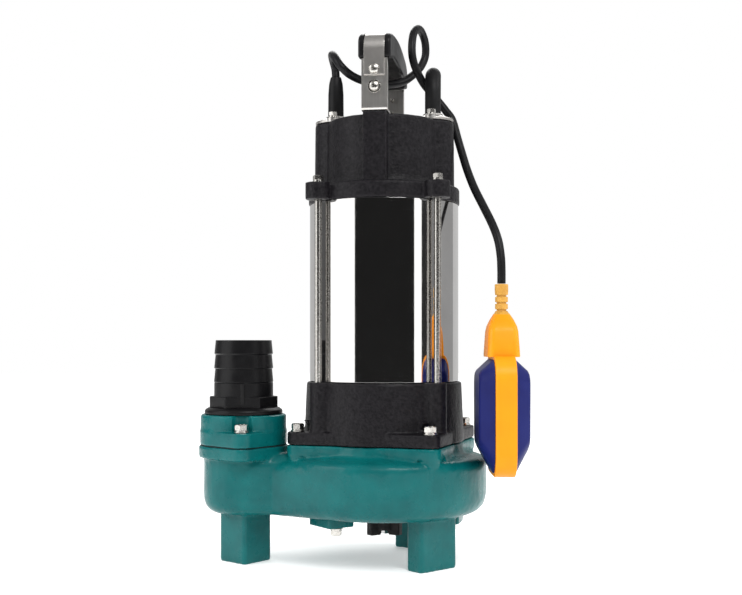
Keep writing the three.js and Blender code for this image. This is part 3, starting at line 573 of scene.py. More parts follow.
# ---------------------------------------------------------------- cords
FLOAT_CABLE = 7.2
MAINS_CABLE = 8.0
COIL = dict(x=7, z=322, front=76.5, inner=32, outer=64, turns=4, layers=4, last=3.125)
PLUG = dict(x=43, y=100.5, top=255, relief=52, length=34, radius=17.5, pin_length=19, pin=2.4, spacing=19)
FLOAT_ROUTE = [
    (-43, 9.5, 434.2), (-43.6, 9.4, 441.4), (-46, 3, 448), (-47, -9, 449.4), (-45.4, -23, 444),
    (-41, -31, 435), (-33.9, -29.6, 428.4), (-24.6, -19.9, 425.9), (-13.1, -6.3, 426.2), (-2.3, 5.6, 427.4),
    (8.5, 14.7, 429.6), (19.5, 23.9, 434.4), (28.8, 32.3, 442.1), (37.2, 39.8, 451.6), (42.4, 43.6, 463.1),
    (42.2, 41.5, 474.8), (38.5, 35.2, 482.7), (33.7, 25.6, 484.1), (28.6, 15.8, 477.3), (26.4, 9.9, 466.7),
    (26.2, 8.1, 456.2), (28.1, 8.9, 447.3), (32, 10, 438.5), (37.4, 11.2, 429.6), (44, 12, 421.9),
    (51, 11.4, 413.6), (57, 9, 405.2), (62.6, 5, 395.7), (66.6, -1.8, 377.4), (69.4, -7.5, 364),
    (73, -15.9, 347), (77.6, -25.3, 330.2), (83.2, -36.5, 313.9), (89.4, -48.4, 296.1), (93, -56.6, 281.6),
    (94.5, -61, 267.6), (94.8, -62.6, 255.6), (94.8, -62.8, 244),
]
MAINS_BOOT_ROUTE = [
    (43, -9.5, 381), (43, -9.5, 400), (43, -9.5, 414), (43.2, -8.2, 423), (43.9, -3.4, 431.5),
    (45, 3.4, 436), (46.4, 12, 437.4),
]
MAINS_ROUTE = [
    (46.6, 13.2, 437.5), (48.2, 24, 437.6), (50, 36, 436.4), (51.6, 48, 433), (53, 59, 426.6),
    (54.4, 68.4, 417.2), (56, 74.4, 405.6), (58.6, 76.9, 392), (62.2, 76.8, 378), (64.8, 76.5, 367.5),
    (67.4, 76.5, 356), (69.6, 76.5, 344), (70.8, 76.5, 332),
]


# The coil's centreline: turns beside each other in one layer, then a step back and the next layer.
def coil_route():
    points = []
    steps = 24
    per_layer = COIL["turns"] + 1
    total = (COIL["layers"] - 1) * per_layer + COIL["last"] + 1
    depth = MAINS_CABLE
    for index in range(int(total * steps) + 1):
        turn = index / steps
        layer = min(int(turn // per_layer), COIL["layers"] - 1)
        within = turn - layer * per_layer
        inward = min(within / COIL["turns"], 1)
        if layer % 2:
            inward = 1 - inward
        radius = COIL["outer"] + (COIL["inner"] - COIL["outer"]) * inward
        back = COIL["front"] + depth * (layer + max(within - COIL["turns"], 0))
        angle = 2 * math.pi * turn
        points.append((COIL["x"] + radius * math.cos(angle), back, COIL["z"] - radius * math.sin(angle)))
    return points


def row_point(point):
    return TO_ROW @ Vector(point)


def float_cable():
    line = smooth_line(FLOAT_ROUTE, 8)
    cable = tube(line, FLOAT_CABLE / 2, 20)
    finish_piece(cable, "float_cable", cable_rubber, None,
                 ("float_cable_upper", "float_cable_lower"), blend=True)
    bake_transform(cable)
    return cable


# The mains lead, its coil and the lead down to the plug are one curve.
def mains_line():
    coil = coil_route()
    last = Vector(coil[-1])
    heading = (last - Vector(coil[-3])).normalized()
    plug_top = Vector((PLUG["x"], PLUG["y"], PLUG["top"] - 4))
    start = last + heading * 4
    leave = start + heading * 7
    arrive = plug_top + Vector((0, 0, 14))
    tail = []
    for step in range(9):
        t = step / 8
        tail.append((1 - t) ** 3 * start + 3 * t * (1 - t) ** 2 * leave + 3 * t * t * (1 - t) * arrive
                    + t ** 3 * plug_top)
    return smooth_line(MAINS_ROUTE, 5) + [Vector(point) for point in coil] + tail


def mains_cable():
    points = [row_point(point) for point in mains_line()]
    curve = bpy.data.curves.new("mains_cable", "CURVE")
    curve.dimensions = "3D"
    curve.bevel_depth = MAINS_CABLE / 2 * MM
    curve.bevel_resolution = 5
    curve.use_fill_caps = True
    spline = curve.splines.new("POLY")
    spline.points.add(len(points) - 1)
    for point, place in zip(spline.points, points):
        point.co = (*place, 1)
    spline.use_smooth = True
    curve.materials.append(cable_rubber)
    cable = bpy.data.objects.new("mains_cable_coiled", curve)
    bpy.context.scene.collection.objects.link(cable)
    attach(cable, "pump")
    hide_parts("mains_cable", "mains_coil")
    return cable


# A two-pin plug that hangs with its pins down: a gripped body and a ribbed, tapered relief.
def plug_body():
    top = PLUG["top"]
    body_top = top - PLUG["relief"]
    bottom = body_top - PLUG["length"]
    radius = PLUG["radius"]
    profile = [(0, bottom, 0), (15.5, bottom, 0.8), (15.5, bottom + 1.5, 0.4), (radius, bottom + 1.5, 1.2),
               (radius, bottom + 14, 2), (radius - 4.5, bottom + 26, 4), (9, body_top - 1, 3)]
    ribs = 6
    for index in range(ribs):
        height = body_top + 2 + index * 7
        reach = 7.6 - 0.45 * index
        profile += [(reach, height, 0.5), (reach - 0.3, height + 4, 0.5), (reach - 1.6, height + 4.6, 0.3),
                    (reach - 1.7, height + 6.4, 0.3)]
    profile += [(4.9, top - 6, 0.5), (4.8, top - 0.5, 0.8), (0, top - 0.5, 0)]
    points = softened(profile, 0, 4, closed=False)
    body = lathe(points, 64)
    flutes = [post(2.2, bottom + 3, bottom + 25, *around(radius + 1.2, 15 + 30 * index), segments=20)
              for index in range(12)]
    cut(body, *flutes)
    return shifted(body, PLUG["x"], PLUG["y"])


def plug_pins():
    bottom = PLUG["top"] - PLUG["relief"] - PLUG["length"]
    tip = bottom - PLUG["pin_length"]
    pins = []
    for side in (-1, 1):
        profile = [(0, tip, 0), (PLUG["pin"], tip, 1.4), (PLUG["pin"], bottom + 1, 0), (0, bottom + 1, 0)]
        pin = spun(profile, 6, 32)
        pins.append(shifted(pin, PLUG["x"] + side * PLUG["spacing"] / 2, PLUG["y"]))
    return join(*pins)


# A nylon tie that holds the coil to the rear upright of the handle.
def coil_tie():
    centre = HEAD @ Vector((0, 60, 404))
    low = COIL["z"] + COIL["inner"] - 8
    high = COIL["z"] + COIL["outer"] + 14
    x = COIL["x"] + 2
    loop = [
        (x, 71.5, low + 8), (x, 78, low), (x, 92, low - 1), (x, 105, low + 3), (x, 109.5, low + 14),
        (x, 109.5, (low + high) / 2), (x + 1, 108, high - 10), (x + 2, 100, high), (centre.x + 2, 84, 398),
        (centre.x + 8, 68, 403.6), (centre.x + 13, 60, 404), (centre.x + 8, 53, 404), (centre.x, 50.5, 404),
        (centre.x - 8, 53, 404), (centre.x - 13.4, 59, 404), (centre.x - 9, 67, 402.6), (x - 1, 73, 394),
        (x, 71, 380), (x, 70.5, (low + high) / 2 - 3),
    ]
    return tube(smooth_line(loop + loop[:1], 5), 1.5, 10)


# ---------------------------------------------------------------- castings
def volute_casing():
    radius = VOLUTE["radius"]
    bottom = VOLUTE["bottom"]
    top = VOLUTE["top"]
    drum = spun([
        (0, bottom, 0), (radius, bottom, 20), (radius, top - 1, 15), (78, top + 2, 5), (72, 97, 6),
        (69.5, FLANGE["bottom"] - GAP, 0), (0, FLANGE["bottom"] - GAP, 0)], 10)
    neck = prism(lugged(FLANGE["side"] + 0.6, FLANGE["reach"], FLANGE["lug"] + 0.4, FLANGE_ANGLES), 96.5,
                 FLANGE["bottom"] - GAP)
    end_profile = [(0, bottom, 0), (SCROLL["radius"], bottom, 14), (SCROLL["radius"], top - 3, 9),
                   (0, top - 3, 0)]
    scroll_end = shifted(spun(end_profile, 8, 48), SCROLL["x"], SCROLL["y"])
    plain_drum = spun([
        (0, bottom, 0), (radius, bottom, 20), (radius, top - 1, 15), (0, top - 1, 0)], 10)
    scroll = hull_of(plain_drum, scroll_end)
    discard(plain_drum)
    discard(scroll_end)
    front_half = block(2 * radius + 4, radius + 2, bottom - 2, top + 20, SCROLL["x"], -radius / 2 - 1)
    combine(scroll, [front_half], "INTERSECT")
    gussets = []
    for degrees in FLANGE_ANGLES:
        x, y = around(FLANGE["reach"], degrees)
        inner_x, inner_y = around(FLANGE["reach"] - 9, degrees)
        middle = math.atan2(y, x)
        rounds = [(inner_x, inner_y, 11.5, 80), (x * 0.965, y * 0.965, 10.6, 90), (x, y, 9.2, 99),
                  (x, y, 9.2, 104)]
        loops = []
        for centre_x, centre_y, size, height in rounds:
            ring = arc(centre_x, centre_y, size, middle, middle + 2 * math.pi, 28)[:-1]
            loops.append([(px, py, height) for px, py in ring])
        gussets.append(loft(loops))
    elbow = shifted(spun([
        (0, bottom, 0), (DISCHARGE["elbow"], bottom, 20), (DISCHARGE["elbow"], DISCHARGE["bottom"] + 1, 0),
        (0, DISCHARGE["bottom"] + 1, 0)], 10), DISCHARGE["x"])
    duct_outline = softened([(-35, bottom, 14), (35, bottom, 14), (35, 90, 10), (28, 97, 5), (-28, 97, 5),
                             (-35, 90, 10)], 0, 6)
    duct = shifted(crosswise(duct_outline, 96), DISCHARGE["x"] + 48)
    flange = shifted(prism(lugged(DISCHARGE["flange"], DISCHARGE["ear_reach"], DISCHARGE["ear"], (90, 270)),
                           DISCHARGE["bottom"], DISCHARGE["top"]), DISCHARGE["x"])
    feet = [block(FOOT["square"], FOOT["square"], 0, FOOT["height"], DISCHARGE["x"] + 1.5, 0, 45, 3)]
    for side in (-1, 1):
        x, y = around(FOOT["reach"], side * FOOT["angle"])
        feet.append(block(FOOT["radial"], FOOT["tangent"], 0, FOOT["height"], x, y,
                          -side * FOOT["angle"], 3))
    body = join(drum, neck, scroll, *gussets, elbow, duct, flange, *feet)
    spigot = SUCTION["spigot"] + 0.6
    chamber = lathe([(0, bottom - 1), (spigot, bottom - 1), (spigot, 52), (VOLUTE["chamber"], 52),
                     (VOLUTE["chamber"], 88.5), (58.5, 88.5), (58.5, 110), (0, 110)])
    duct_bore = shifted(moved(post(20, 0, 80), Matrix.Rotation(math.pi / 2, 4, "Y")), DISCHARGE["x"], 0, 70)
    riser = post(DISCHARGE["bore"], 60, 110, DISCHARGE["x"], 0, 64)
    holes = posts(HOLE_M6, 40, 50, SUCTION["reach"], SUCTION["angles"])
    holes += posts(HOLE_M8, 92, 110, FLANGE["reach"], FLANGE_ANGLES)
    holes += [post(HOLE_M8, 90, 110, DISCHARGE["x"], side * DISCHARGE["ear_reach"]) for side in (-1, 1)]
    cut(body, chamber, duct_bore, riser, *holes)
    return cast(body, 1.25, waves=0.22, smoothing=5, keep=0.55)


def suction_cover():
    plate_top = VOLUTE["bottom"] - GAP
    disc = post(SUCTION["spigot"], SUCTION["disc"], 53, segments=96)
    arms = []
    length = SUCTION["lug_outer"] - SUCTION["lug_inner"]
    for degrees, width in SUCTION["lugs"]:
        x, y = around((SUCTION["lug_inner"] + SUCTION["lug_outer"]) / 2, degrees)
        arms.append(block(length, width, SUCTION["bottom"], plate_top, x, y, -degrees, 3))
    cover = join(disc, *arms)
    tools = [post(SUCTION["eye"], 30, 60, segments=96)]
    tools += posts(HOLE_M6, 30, 60, SUCTION["reach"], SUCTION["angles"])
    cut(cover, *tools)
    return cast(cover, 1.0, waves=0.15, smoothing=4)


def discharge_flange():
    ears = prism(lugged(DISCHARGE["flange"] - 1, DISCHARGE["ear_reach"], DISCHARGE["ear"], (90, 270)),
                 COUNTER["bottom"], COUNTER["ear_top"])
    collar = spun([
        (0, 105, 0), (COUNTER["collar"] + 0.4, 105, 0), (COUNTER["collar"], COUNTER["top"], 1.6),
        (0, COUNTER["top"], 0)], 4)
    body = join(ears, collar)
    tools = [post(DISCHARGE["bore"], 100, 121, segments=96), post(28.3, 120, 135, segments=96)]
    for side in (-1, 1):
        tools.append(post(9.2, COUNTER["ear_top"], 135, 0, side * DISCHARGE["ear_reach"], 64))
        tools.append(post(HOLE_M8, 100, 120, 0, side * DISCHARGE["ear_reach"]))
    cut(body, *tools)
    return shifted(cast(body, 0.9, waves=0.12, smoothing=4, keep=0.7), DISCHARGE["x"])


def discharge_gasket():
    outline = lugged(DISCHARGE["flange"] - 1.5, DISCHARGE["ear_reach"], DISCHARGE["ear"] - 1.5, (90, 270))
    body = prism(outline, DISCHARGE["top"] + 0.15, COUNTER["bottom"] - 0.15)
    tools = [post(DISCHARGE["bore"], 100, 108, segments=96)]
    tools += [post(HOLE_M8, 100, 108, 0, side * DISCHARGE["ear_reach"]) for side in (-1, 1)]
    return shifted(beveled(cut(body, *tools), 0.15, 1), DISCHARGE["x"])


def oil_housing():
    top = BARREL["bottom"] - GAP
    shell = lathe(softened([
        (10.5, 92, 0), (57.6, 92, 0), (57.6, 106, 0), (71.5, 106, 0), (71, 121, 3), (69.2, top - 1, 1.2),
        (63.4, top, 0), (63.4, 168, 0), (56, 168, 0), (56, 159, 0), (22.2, 159, 0), (22.2, 148, 0),
        (12, 148, 0), (12, 143, 0), (52, 143, 0), (52, 114, 0), (10.5, 114, 0)], 0, 5))
    flange = prism(lugged(FLANGE["side"], FLANGE["reach"], FLANGE["lug"], FLANGE_ANGLES), 106, FLANGE["top"])
    cut(flange, post(60, 100, 120, segments=96))
    lugs = []
    for degrees in TIE_ANGLES:
        x, y = around(TIE["reach"] - 2.5, degrees)
        lugs.append(cut(post(9.5, 107, top, x, y), post(64, 100, 170, segments=96)))
    for degrees in FLANGE_ANGLES:
        web = block(15, 7, 107, 127, *around(70.5, degrees), -degrees)
        slope = block(22, 9, 0, 22, 7, 0)
        moved(slope, Matrix.Rotation(math.radians(38), 4, "Y"))
        moved(slope, Matrix.Rotation(math.radians(-degrees), 4, "Z"))
        lugs.append(cut(web, shifted(slope, *around(76, degrees), 118), post(64, 100, 170, segments=96)))
    body = join(shell, flange, *lugs)
    tools = posts(HOLE_M8, 100, 120, FLANGE["reach"], FLANGE_ANGLES)
    tools += posts(8.8, FLANGE["top"], 126, FLANGE["reach"], FLANGE_ANGLES)
    tools += posts(HOLE_TIE, 139, 170, TIE["reach"], TIE_ANGLES)
    cut(body, *tools)
    return cast(body, 1.1, waves=0.14, smoothing=4, keep=0.6)


def top_cover():
    rim = spun([
        (0, 308, 0), (63.4, 308, 0), (63.4, COVER["bottom"], 0), (COVER["rim"], COVER["bottom"], 0),
        (COVER["rim"], COVER["rim_top"], 2.5), (COVER["core"] + 2, COVER["rim_top"] + 0.5, 2),
        (COVER["core"] + 0.6, 338, 0), (COVER["core"], COVER["top"], 2.2), (0, COVER["top"], 0)], 5)
    solids = posts(TIE["lug"], COVER["bottom"], COVER["rim_top"], TIE["reach"], TIE_ANGLES)
    bosses = []
    tools = []
    for side in (-1, 1):
        boss = spun([(0, 330, 0), (GLAND["boss"] + 0.6, 330, 0), (GLAND["boss"], COVER["top"], 1.5),
                     (0, COVER["top"], 0)], 4, 64)
        bosses.append(shifted(boss, side * GLAND["reach"]))
        tools.append(post(GLAND["boot"] + GAP, 370, 400, side * GLAND["reach"]))
        tools += [post(HOLE_M5, 378, 400, side * GLAND["reach"], end * GLAND["screw"]) for end in (-1, 1)]
        bosses.append(block(20.6, 24, 330, COVER["top"], 0, side * 48.5, 0, 1.2))
        tools.append(post(HOLE_M5, 378, 400, 0, side * BRACKET["bolt"]))
    for piece in bosses + tools:
        moved(piece, HEAD)
    body = join(rim, *solids, *bosses)
    cavity = lathe([(0, 300), (55, 300), (55, 322), (43, 330), (43, 380), (0, 380)])
    tools += posts(HOLE_TIE, 310, 335, TIE["reach"], TIE_ANGLES)
    cut(body, cavity, *tools)
    seat = lathe([(17, 320), (24, 320), (24, 334), (17, 334)], 64)
    webs = [block(34, 6, 320, 330, *around(38, degrees), -degrees) for degrees in (0, 120, 240)]
    join(body, seat, *webs)
    return cast(body, 1.0, waves=0.13, smoothing=4, keep=0.6)


def motor_barrel():
    radius = BARREL["radius"]
    inner = radius - BARREL["wall"]
    bottom = BARREL["bottom"]
    top = BARREL["top"]
    profile = [(inner, bottom, 0.3), (radius, bottom, 0.2), (radius, top, 0.2), (inner, top, 0.3)]
    return lathe(softened(profile, 0, 4), 2 * ROUND)


# ---------------------------------------------------------------- hose tail
def hose_tail():
    bore = HOSE["bore"]
    profile = [(bore, 121.3, 0), (28, 121.3, 0.6), (28, COUNTER["top"] + GAP, 0.3),
               (HOSE["base"], COUNTER["top"] + GAP, 0.8), (HOSE["base"], 134.2, 1.4), (31.4, 136.4, 1.0),
               (26.2, 137.2, 1.2), (26.1, 158.2, 0.3), (25.5, 158.6, 0.4)]
    for lip, height in ((26.3, 159.8), (26.1, 172.0), (25.9, 184.8)):
        profile += [(lip - 0.5, height - 1.2, 0.2), (lip, height - 0.6, 0.25)]
        profile += [(lip - 1.15, height + 11.0, 0.2)]
    profile += [(24.7, HOSE["top"], 0.7), (bore, HOSE["top"], 0.6)]
    spout = lathe(softened(profile, 0, 4))
    nut = beveled(prism(softened(hexagon(HOSE["hex"]), 1.5, 3), 135.2, 146.3), 0.8, 3, 60)
    cut(nut, post(bore + 2, 130, 150, segments=96))
    key = block(3.2, 3, 140, 157.5, 0, -25.6, 0, 0.8)
    return shifted(join(spout, nut, key), DISCHARGE["x"])


# ---------------------------------------------------------------- fasteners
# A hexagon bolt with a flat and a spring washer.  The head is above the seat, or below it where up is -1.
def hex_bolt(seat, shank_end, across, radius, up=1):
    reach = across / math.sqrt(3)
    foot = GAP
    washer = 1.0
    spring = 1.2
    head = foot + washer + spring
    length = abs(seat - shank_end)
    top = head + 0.46 * across
    solid = spun([
        (0, -length, 0), (radius * 0.82, -length, 0), (radius, -length + 1, 0), (radius, foot, 0),
        (across * 0.62, foot, 0.25), (across * 0.62, foot + washer, 0.25), (across * 0.53, foot + washer, 0),
        (across * 0.53, head, 0.2), (radius, head + 0.1, 0), (radius, head + 1, 0), (0, head + 1, 0)], 3, 48)
    nut = prism(softened(hexagon(reach), 0.25, 2), head - 0.05, top)
    cone = lathe([(0, head - 1), (reach * 1.2, head - 1), (reach * 1.2, top - 0.22 * across),
                  (across * 0.47, top + 0.02), (across * 0.44, top + 0.4), (0, top + 0.4)], 48)
    combine(nut, [cone], "INTERSECT")
    dish = post(across * 0.34, top - 0.4, top + 1, segments=32)
    cut(nut, dish)
    bolt = beveled(join(solid, nut), 0.12, 2, 50)
    if up < 0:
        moved(bolt, Matrix.Rotation(math.pi, 4, "X"))
    return shifted(bolt, 0, 0, seat)


# A pan-head screw with a cross recess and a washer, along Y, with its head outside.
def pan_screw(side, height, seat, washer_radius):
    body = spun([
        (0, -8, 0), (1.4, -8, 0), (2, -7, 0), (2, GAP, 0), (washer_radius, GAP, 0.2),
        (washer_radius, 1.1, 0.2), (4.1, 1.1, 0), (4.1, 1.9, 0.5), (3.4, 3.3, 1.0), (1.6, 3.9, 0.8),
        (0, 4, 0)], 4, 48)
    recess = [block(3.6, 0.9, 2.4, 5), block(0.9, 3.6, 2.4, 5)]
    cut(body, *recess)
    moved(body, Matrix.Rotation(math.radians(20), 4, "Z"))
    moved(body, Matrix.Rotation(-side * math.pi / 2, 4, "X"))
    return shifted(body, 0, side * seat, height)


# ---------------------------------------------------------------- handle
# The strap's inner face as (y, z) points, from the front end over the crown to the rear end.
def strap_line():
    side = STRAP["side"]
    crown = STRAP["crown"]
    corners = [(-side, STRAP["shoulder"]), (-side, crown - 6), (-side + 16, crown - 4.4), (-20, crown),
               (0, crown)]
    points = [(-side, STRAP["end"])]
    for first, middle, last in (corners[:3], corners[2:]):
        a, b, c = Vector(first), Vector(middle), Vector(last)
        for step in range(10):
            t = step / 10
            points.append(tuple((1 - t) ** 2 * a + 2 * t * (1 - t) * b + t * t * c))
    points.append(corners[-1])
    return points + [(-y, z) for y, z in reversed(points[:-1])]


def offset_line(line, distance):
    result = []
    for index, (y, z) in enumerate(line):
        before = Vector(line[max(index - 1, 0)])
        after = Vector(line[min(index + 1, len(line) - 1)])
        along = (after - before).normalized()
        result.append((y - distance * along.y, z + distance * along.x))
    return result


def handle_strap():
    inner = strap_line()
    outer = offset_line(inner, STRAP["thickness"])
    strap = crosswise(inner + outer[::-1], STRAP["width"])
    return beveled(strap, 0.35, 2, 50)


def handle_grip():
    line = strap_line()
    base = BRACKET["top"] + GAP
    floor = offset_line(line, -GAP)[1:-1]
    end = 62
    top = [(max(-end, min(end, y)), z) for y, z in offset_line(line, STRAP["thickness"] + 0.4)[1:-1]]
    under = softened([(55, base, 0), (50, 437.4, 3), (36, 439.8, 6), (18, 441, 6), (0, 441.3, 6),
                      (-18, 441, 6), (-36, 439.8, 6), (-50, 437.4, 3), (-55, base, 0)], 0, 4, closed=False)
    outline = [(-end, base)] + top + [(end, base)] + [tuple(point) for point in under]
    body = beveled(crosswise(spaced(outline, 0.2), 28), 2.2, 4, 50)
    channel = [(-70, base - 1), (floor[0][0], base - 1)] + floor + [(floor[-1][0], base - 1), (70, base - 1),
                                                                     (70, 475), (-70, 475)]
    cut(body, crosswise(channel, STRAP["width"] + 0.6))
    return beveled(body, 0.3, 2, 60)


# A pressed upright: its foot turns in under the grip, and both edges have a short return.
def handle_bracket(side):
    inner = BRACKET["inner"]
    outer = BRACKET["outer"]
    bottom = COVER["top"] + GAP
    top = BRACKET["top"]
    width = BRACKET["width"]
    outline = softened([
        (BRACKET["foot_reach"], bottom, 0), (outer, bottom, 3.0), (outer, top, 0), (inner, top, 0),
        (inner, bottom + 2, 1.2), (BRACKET["foot_reach"], bottom + 2, 0)], 0, 6)
    sheet = crosswise(outline, width)
    lip = softened([(55, bottom + 0.2, 0), (60, bottom + 0.2, 0), (60, top - 0.5, 0), (56, top - 2.5, 2),
                    (55, top - 9, 2)], 0, 3)
    lips = [shifted(crosswise(lip, 1.6), edge * (width / 2 - 0.8)) for edge in (-1, 1)]
    join(sheet, *lips)
    if side < 0:
        moved(sheet, Matrix.Rotation(math.pi, 4, "Z"))
    tools = []
    for height in (SCREWS["lower"], SCREWS["upper"]):
        hole = moved(post(HOLE_M4, -8, 8, segments=24), Matrix.Rotation(math.pi / 2, 4, "X"))
        tools.append(shifted(hole, 0, side * outer, height))
    tools.append(post(HOLE_M5, bottom - 1, bottom + 4, 0, side * BRACKET["bolt"], 24))
    cut(sheet, *tools)
    return beveled(sheet, 0.3, 2, 50)


# ---------------------------------------------------------------- cable glands
def gland_plate(x):
    bottom = COVER["top"] + GAP
    plate = spun([
        (0, bottom, 0), (GLAND["plate"], bottom, 0.2), (GLAND["plate"], bottom + 2.2, 0.9),
        (10.5, bottom + 5.2, 2), (8.9, bottom + 5.4, 0.4), (8.9, bottom + 7.2, 0.6),
        (0, bottom + 7.2, 0)], 5)
    pads = [post(5.4, bottom, bottom + 3.5, 0, end * GLAND["screw"], 40) for end in (-1, 1)]
    join(plate, *pads)
    holes = [post(HOLE_M5, bottom - 1, bottom + 9, 0, end * GLAND["screw"], 24) for end in (-1, 1)]
    cut(plate, post(GLAND["boot"] + GAP, bottom - 1, bottom + 9, segments=64), *holes)
    return shifted(beveled(plate, 0.25, 2, 50), x)


def straight_boot():
    place = HEAD @ Vector((-GLAND["reach"], 0, 0))
    radius = GLAND["boot"]
    profile = [(0, 381, 0), (radius, 381, 0.5), (radius, 392, 0), (radius - 0.2, 418, 0),
               (radius - 0.9, 428, 3), (radius - 2.4, 433.6, 1.2), (4.2, 433.9, 0.3), (0, 433.9, 0)]
    boot = spun(profile, 6, 64)
    return shifted(boot, place.x, place.y)


def bent_boot():
    line = smooth_line(MAINS_BOOT_ROUTE, 8)
    radii = []
    total = len(line) - 1
    for index in range(total + 1):
        share = index / total
        radii.append(GLAND["boot"] - 2.4 * max(0, (share - 0.72) / 0.28) ** 2)
    return tube(line, radii, 48)


# ---------------------------------------------------------------- float
def rounded_loop(x, half_width, bottom, top, corner, count=7):
    points = []
    centres = [
        (half_width - corner, bottom + corner, -90), (half_width - corner, top - corner, 0),
        (corner - half_width, top - corner, 90), (corner - half_width, bottom + corner, 180),
    ]
    for y, z, start in centres:
        for index in range(count + 1):
            angle = math.radians(start + 90 * index / count)
            points.append((x, y + corner * math.cos(angle), z + corner * math.sin(angle)))
    return points


# Between two loops, the loop a share of the way along.
def between(first, second, share):
    return [tuple(Vector(a).lerp(Vector(b), share)) for a, b in zip(first, second)]


# One blue half of the float: a tray with sloping sides, open towards the middle.
def float_shell(side):
    bottom = FLOAT["bottom"]
    top = FLOAT["top"]
    width = FLOAT["width"]
    inside = FLOAT["band"] / 2 + GAP
    face = FLOAT["thickness"] / 2
    base = rounded_loop(inside, width / 2 - 3, bottom + 3, top - 3, 17)
    lid = rounded_loop(face, width / 2 - 13, bottom + 25, top - 14, 9)
    lid_low = between(base, lid, 0.86)
    centre = (bottom + top) / 2
    lid_edge = between(lid, rounded_loop(face, 0.5, centre + 5, centre + 6, 0.4), 0.06)
    lip = between(base, lid, 0.1)
    share = 0.75
    swell = 0.28
    crown = [(x + share * swell, y, z) for x, y, z in between(lid_low, lid_edge, share)]
    outer = loft([base, lip, lid_low, crown, lid_edge])
    wall = 2.4
    hollow = loft([
        rounded_loop(inside - 1, width / 2 - 3 - wall, bottom + 3 + wall, top - 3 - wall, 15),
        rounded_loop(face - wall, width / 2 - 13 - wall, bottom + 25 + wall * 0.4, top - 14 - wall * 0.4, 8),
    ])
    cut(outer, hollow)
    shell = beveled(outer, 0.5, 3, 18)
    if side < 0:
        moved(shell, Matrix.Scale(-1, 4, (1, 0, 0)))
    return shell


def rounded_level(half_x, half_y, height, corner, count=6):
    return [(x, y, height) for (_, x, y) in rounded_loop(0, half_x, -half_y, half_y, corner, count)]


def float_band():
    bottom = FLOAT["bottom"]
    top = FLOAT["top"]
    half = FLOAT["band"] / 2
    width = FLOAT["width"]

    def slab(inset, corner, reach):
        return loft([rounded_loop(x, width / 2 - inset, bottom + inset, top - inset, corner, 10)
                     for x in (-reach, reach)])

    rim = cut(beveled(slab(0, 20, half), 1.0, 3, 50), slab(5, 15, half + 1))
    shelf = block(FLOAT["band"], width - 8, 150, 152.4)
    levels = [
        (13.4, 22.3, top - 1.2, 4.6), (13.6, 22.5, top + 0.2, 4.8), (13.2, 22, 190, 5),
        (12.6, 19.4, 203, 5.5), (11.8, 17.2, 207.5, 5.5), (9.6, 12.6, 213, 5.5),
        (6.9, 8.4, 217.6, 4.6), (5.5, 5.9, 219.6, 4.4),
    ]
    cap = loft([rounded_level(*level) for level in levels])
    groove = 1.3
    neck_profile = [(0, 215, 0), (5.4, 215, 0)]
    height = 220.5
    for _ in range(3):
        neck_profile += [(5.4, height, 0.3), (4.1, height + 0.2, 0.2), (4.1, height + groove + 0.2, 0.2),
                         (5.4, height + groove + 0.4, 0.3)]
        height += 6.0
    neck_profile += [(5.7, height - 1, 0.4), (5.7, 243.4, 0.8), (0, 243.4, 0)]
    neck = spun(neck_profile, 3, 64)
    return join(rim, shelf, cap, neck)


# The neck is duller than the cap: its own faces get the relief's material.
def paint_neck(band):
    band.data.materials.append(relief_yellow)
    cap_end = 218.5 * MM
    for polygon in band.data.polygons:
        if polygon.center.z > cap_end:
            polygon.material_index = 1


# ---------------------------------------------------------------- wet end, seen from below
def impeller():
    disc = spun([(0, 78.5, 0), (16, 78.5, 3), (62, 79.5, 0.8), (62, 84, 0.8), (0, 84, 0)], 4)
    hub = spun([(0, 56, 0), (14, 56, 1.5), (16, 64, 2), (16, 85, 0), (0, 85, 0)], 4, 64)
    vanes = []
    for index in range(6):
        outline = []
        inner = []
        for step in range(13):
            reach = 13 + 47 * step / 12
            angle = math.radians(60 * index) + 0.75 * (step / 12) ** 0.8
            half = 2.4 / reach
            outline.append((reach * math.cos(angle + half), reach * math.sin(angle + half)))
            inner.append((reach * math.cos(angle - half), reach * math.sin(angle - half)))
        vanes.append(prism(outline + inner[::-1], 58, 80))
    body = join(disc, hub, *vanes)
    cut(body, post(7, 50, 90, segments=48))
    return cast(body, 1.1, waves=0.12, smoothing=3, keep=0.7)


def cutter():
    hub = spun([(0, 26, 0), (10, 26, 1.5), (10, 55.6, 0.5), (0, 55.6, 0)], 4, 64)
    arms = []
    for index in range(3):
        x, y = around(8.25, 120 * index + 30)
        arms.append(block(16.5, 8, 22, 38, x, y, -120 * index - 30, 1.5))
    body = join(hub, *arms)
    cut(body, post(7, 20, 60, segments=48))
    return cast(body, 0.6, waves=0.12, smoothing=3, keep=0.8)


# ---------------------------------------------------------------- the object
cable = float_cable()
plug = finish_piece(plug_body(), "plug_body", black_rubber, "pump", ("mains_plug",))
pins = finish_piece(plug_pins(), "plug_pins", brass_pins, "pump", ())
tie = finish_piece(coil_tie(), "coil_tie", tie_nylon, "pump", ())
mains_cable()

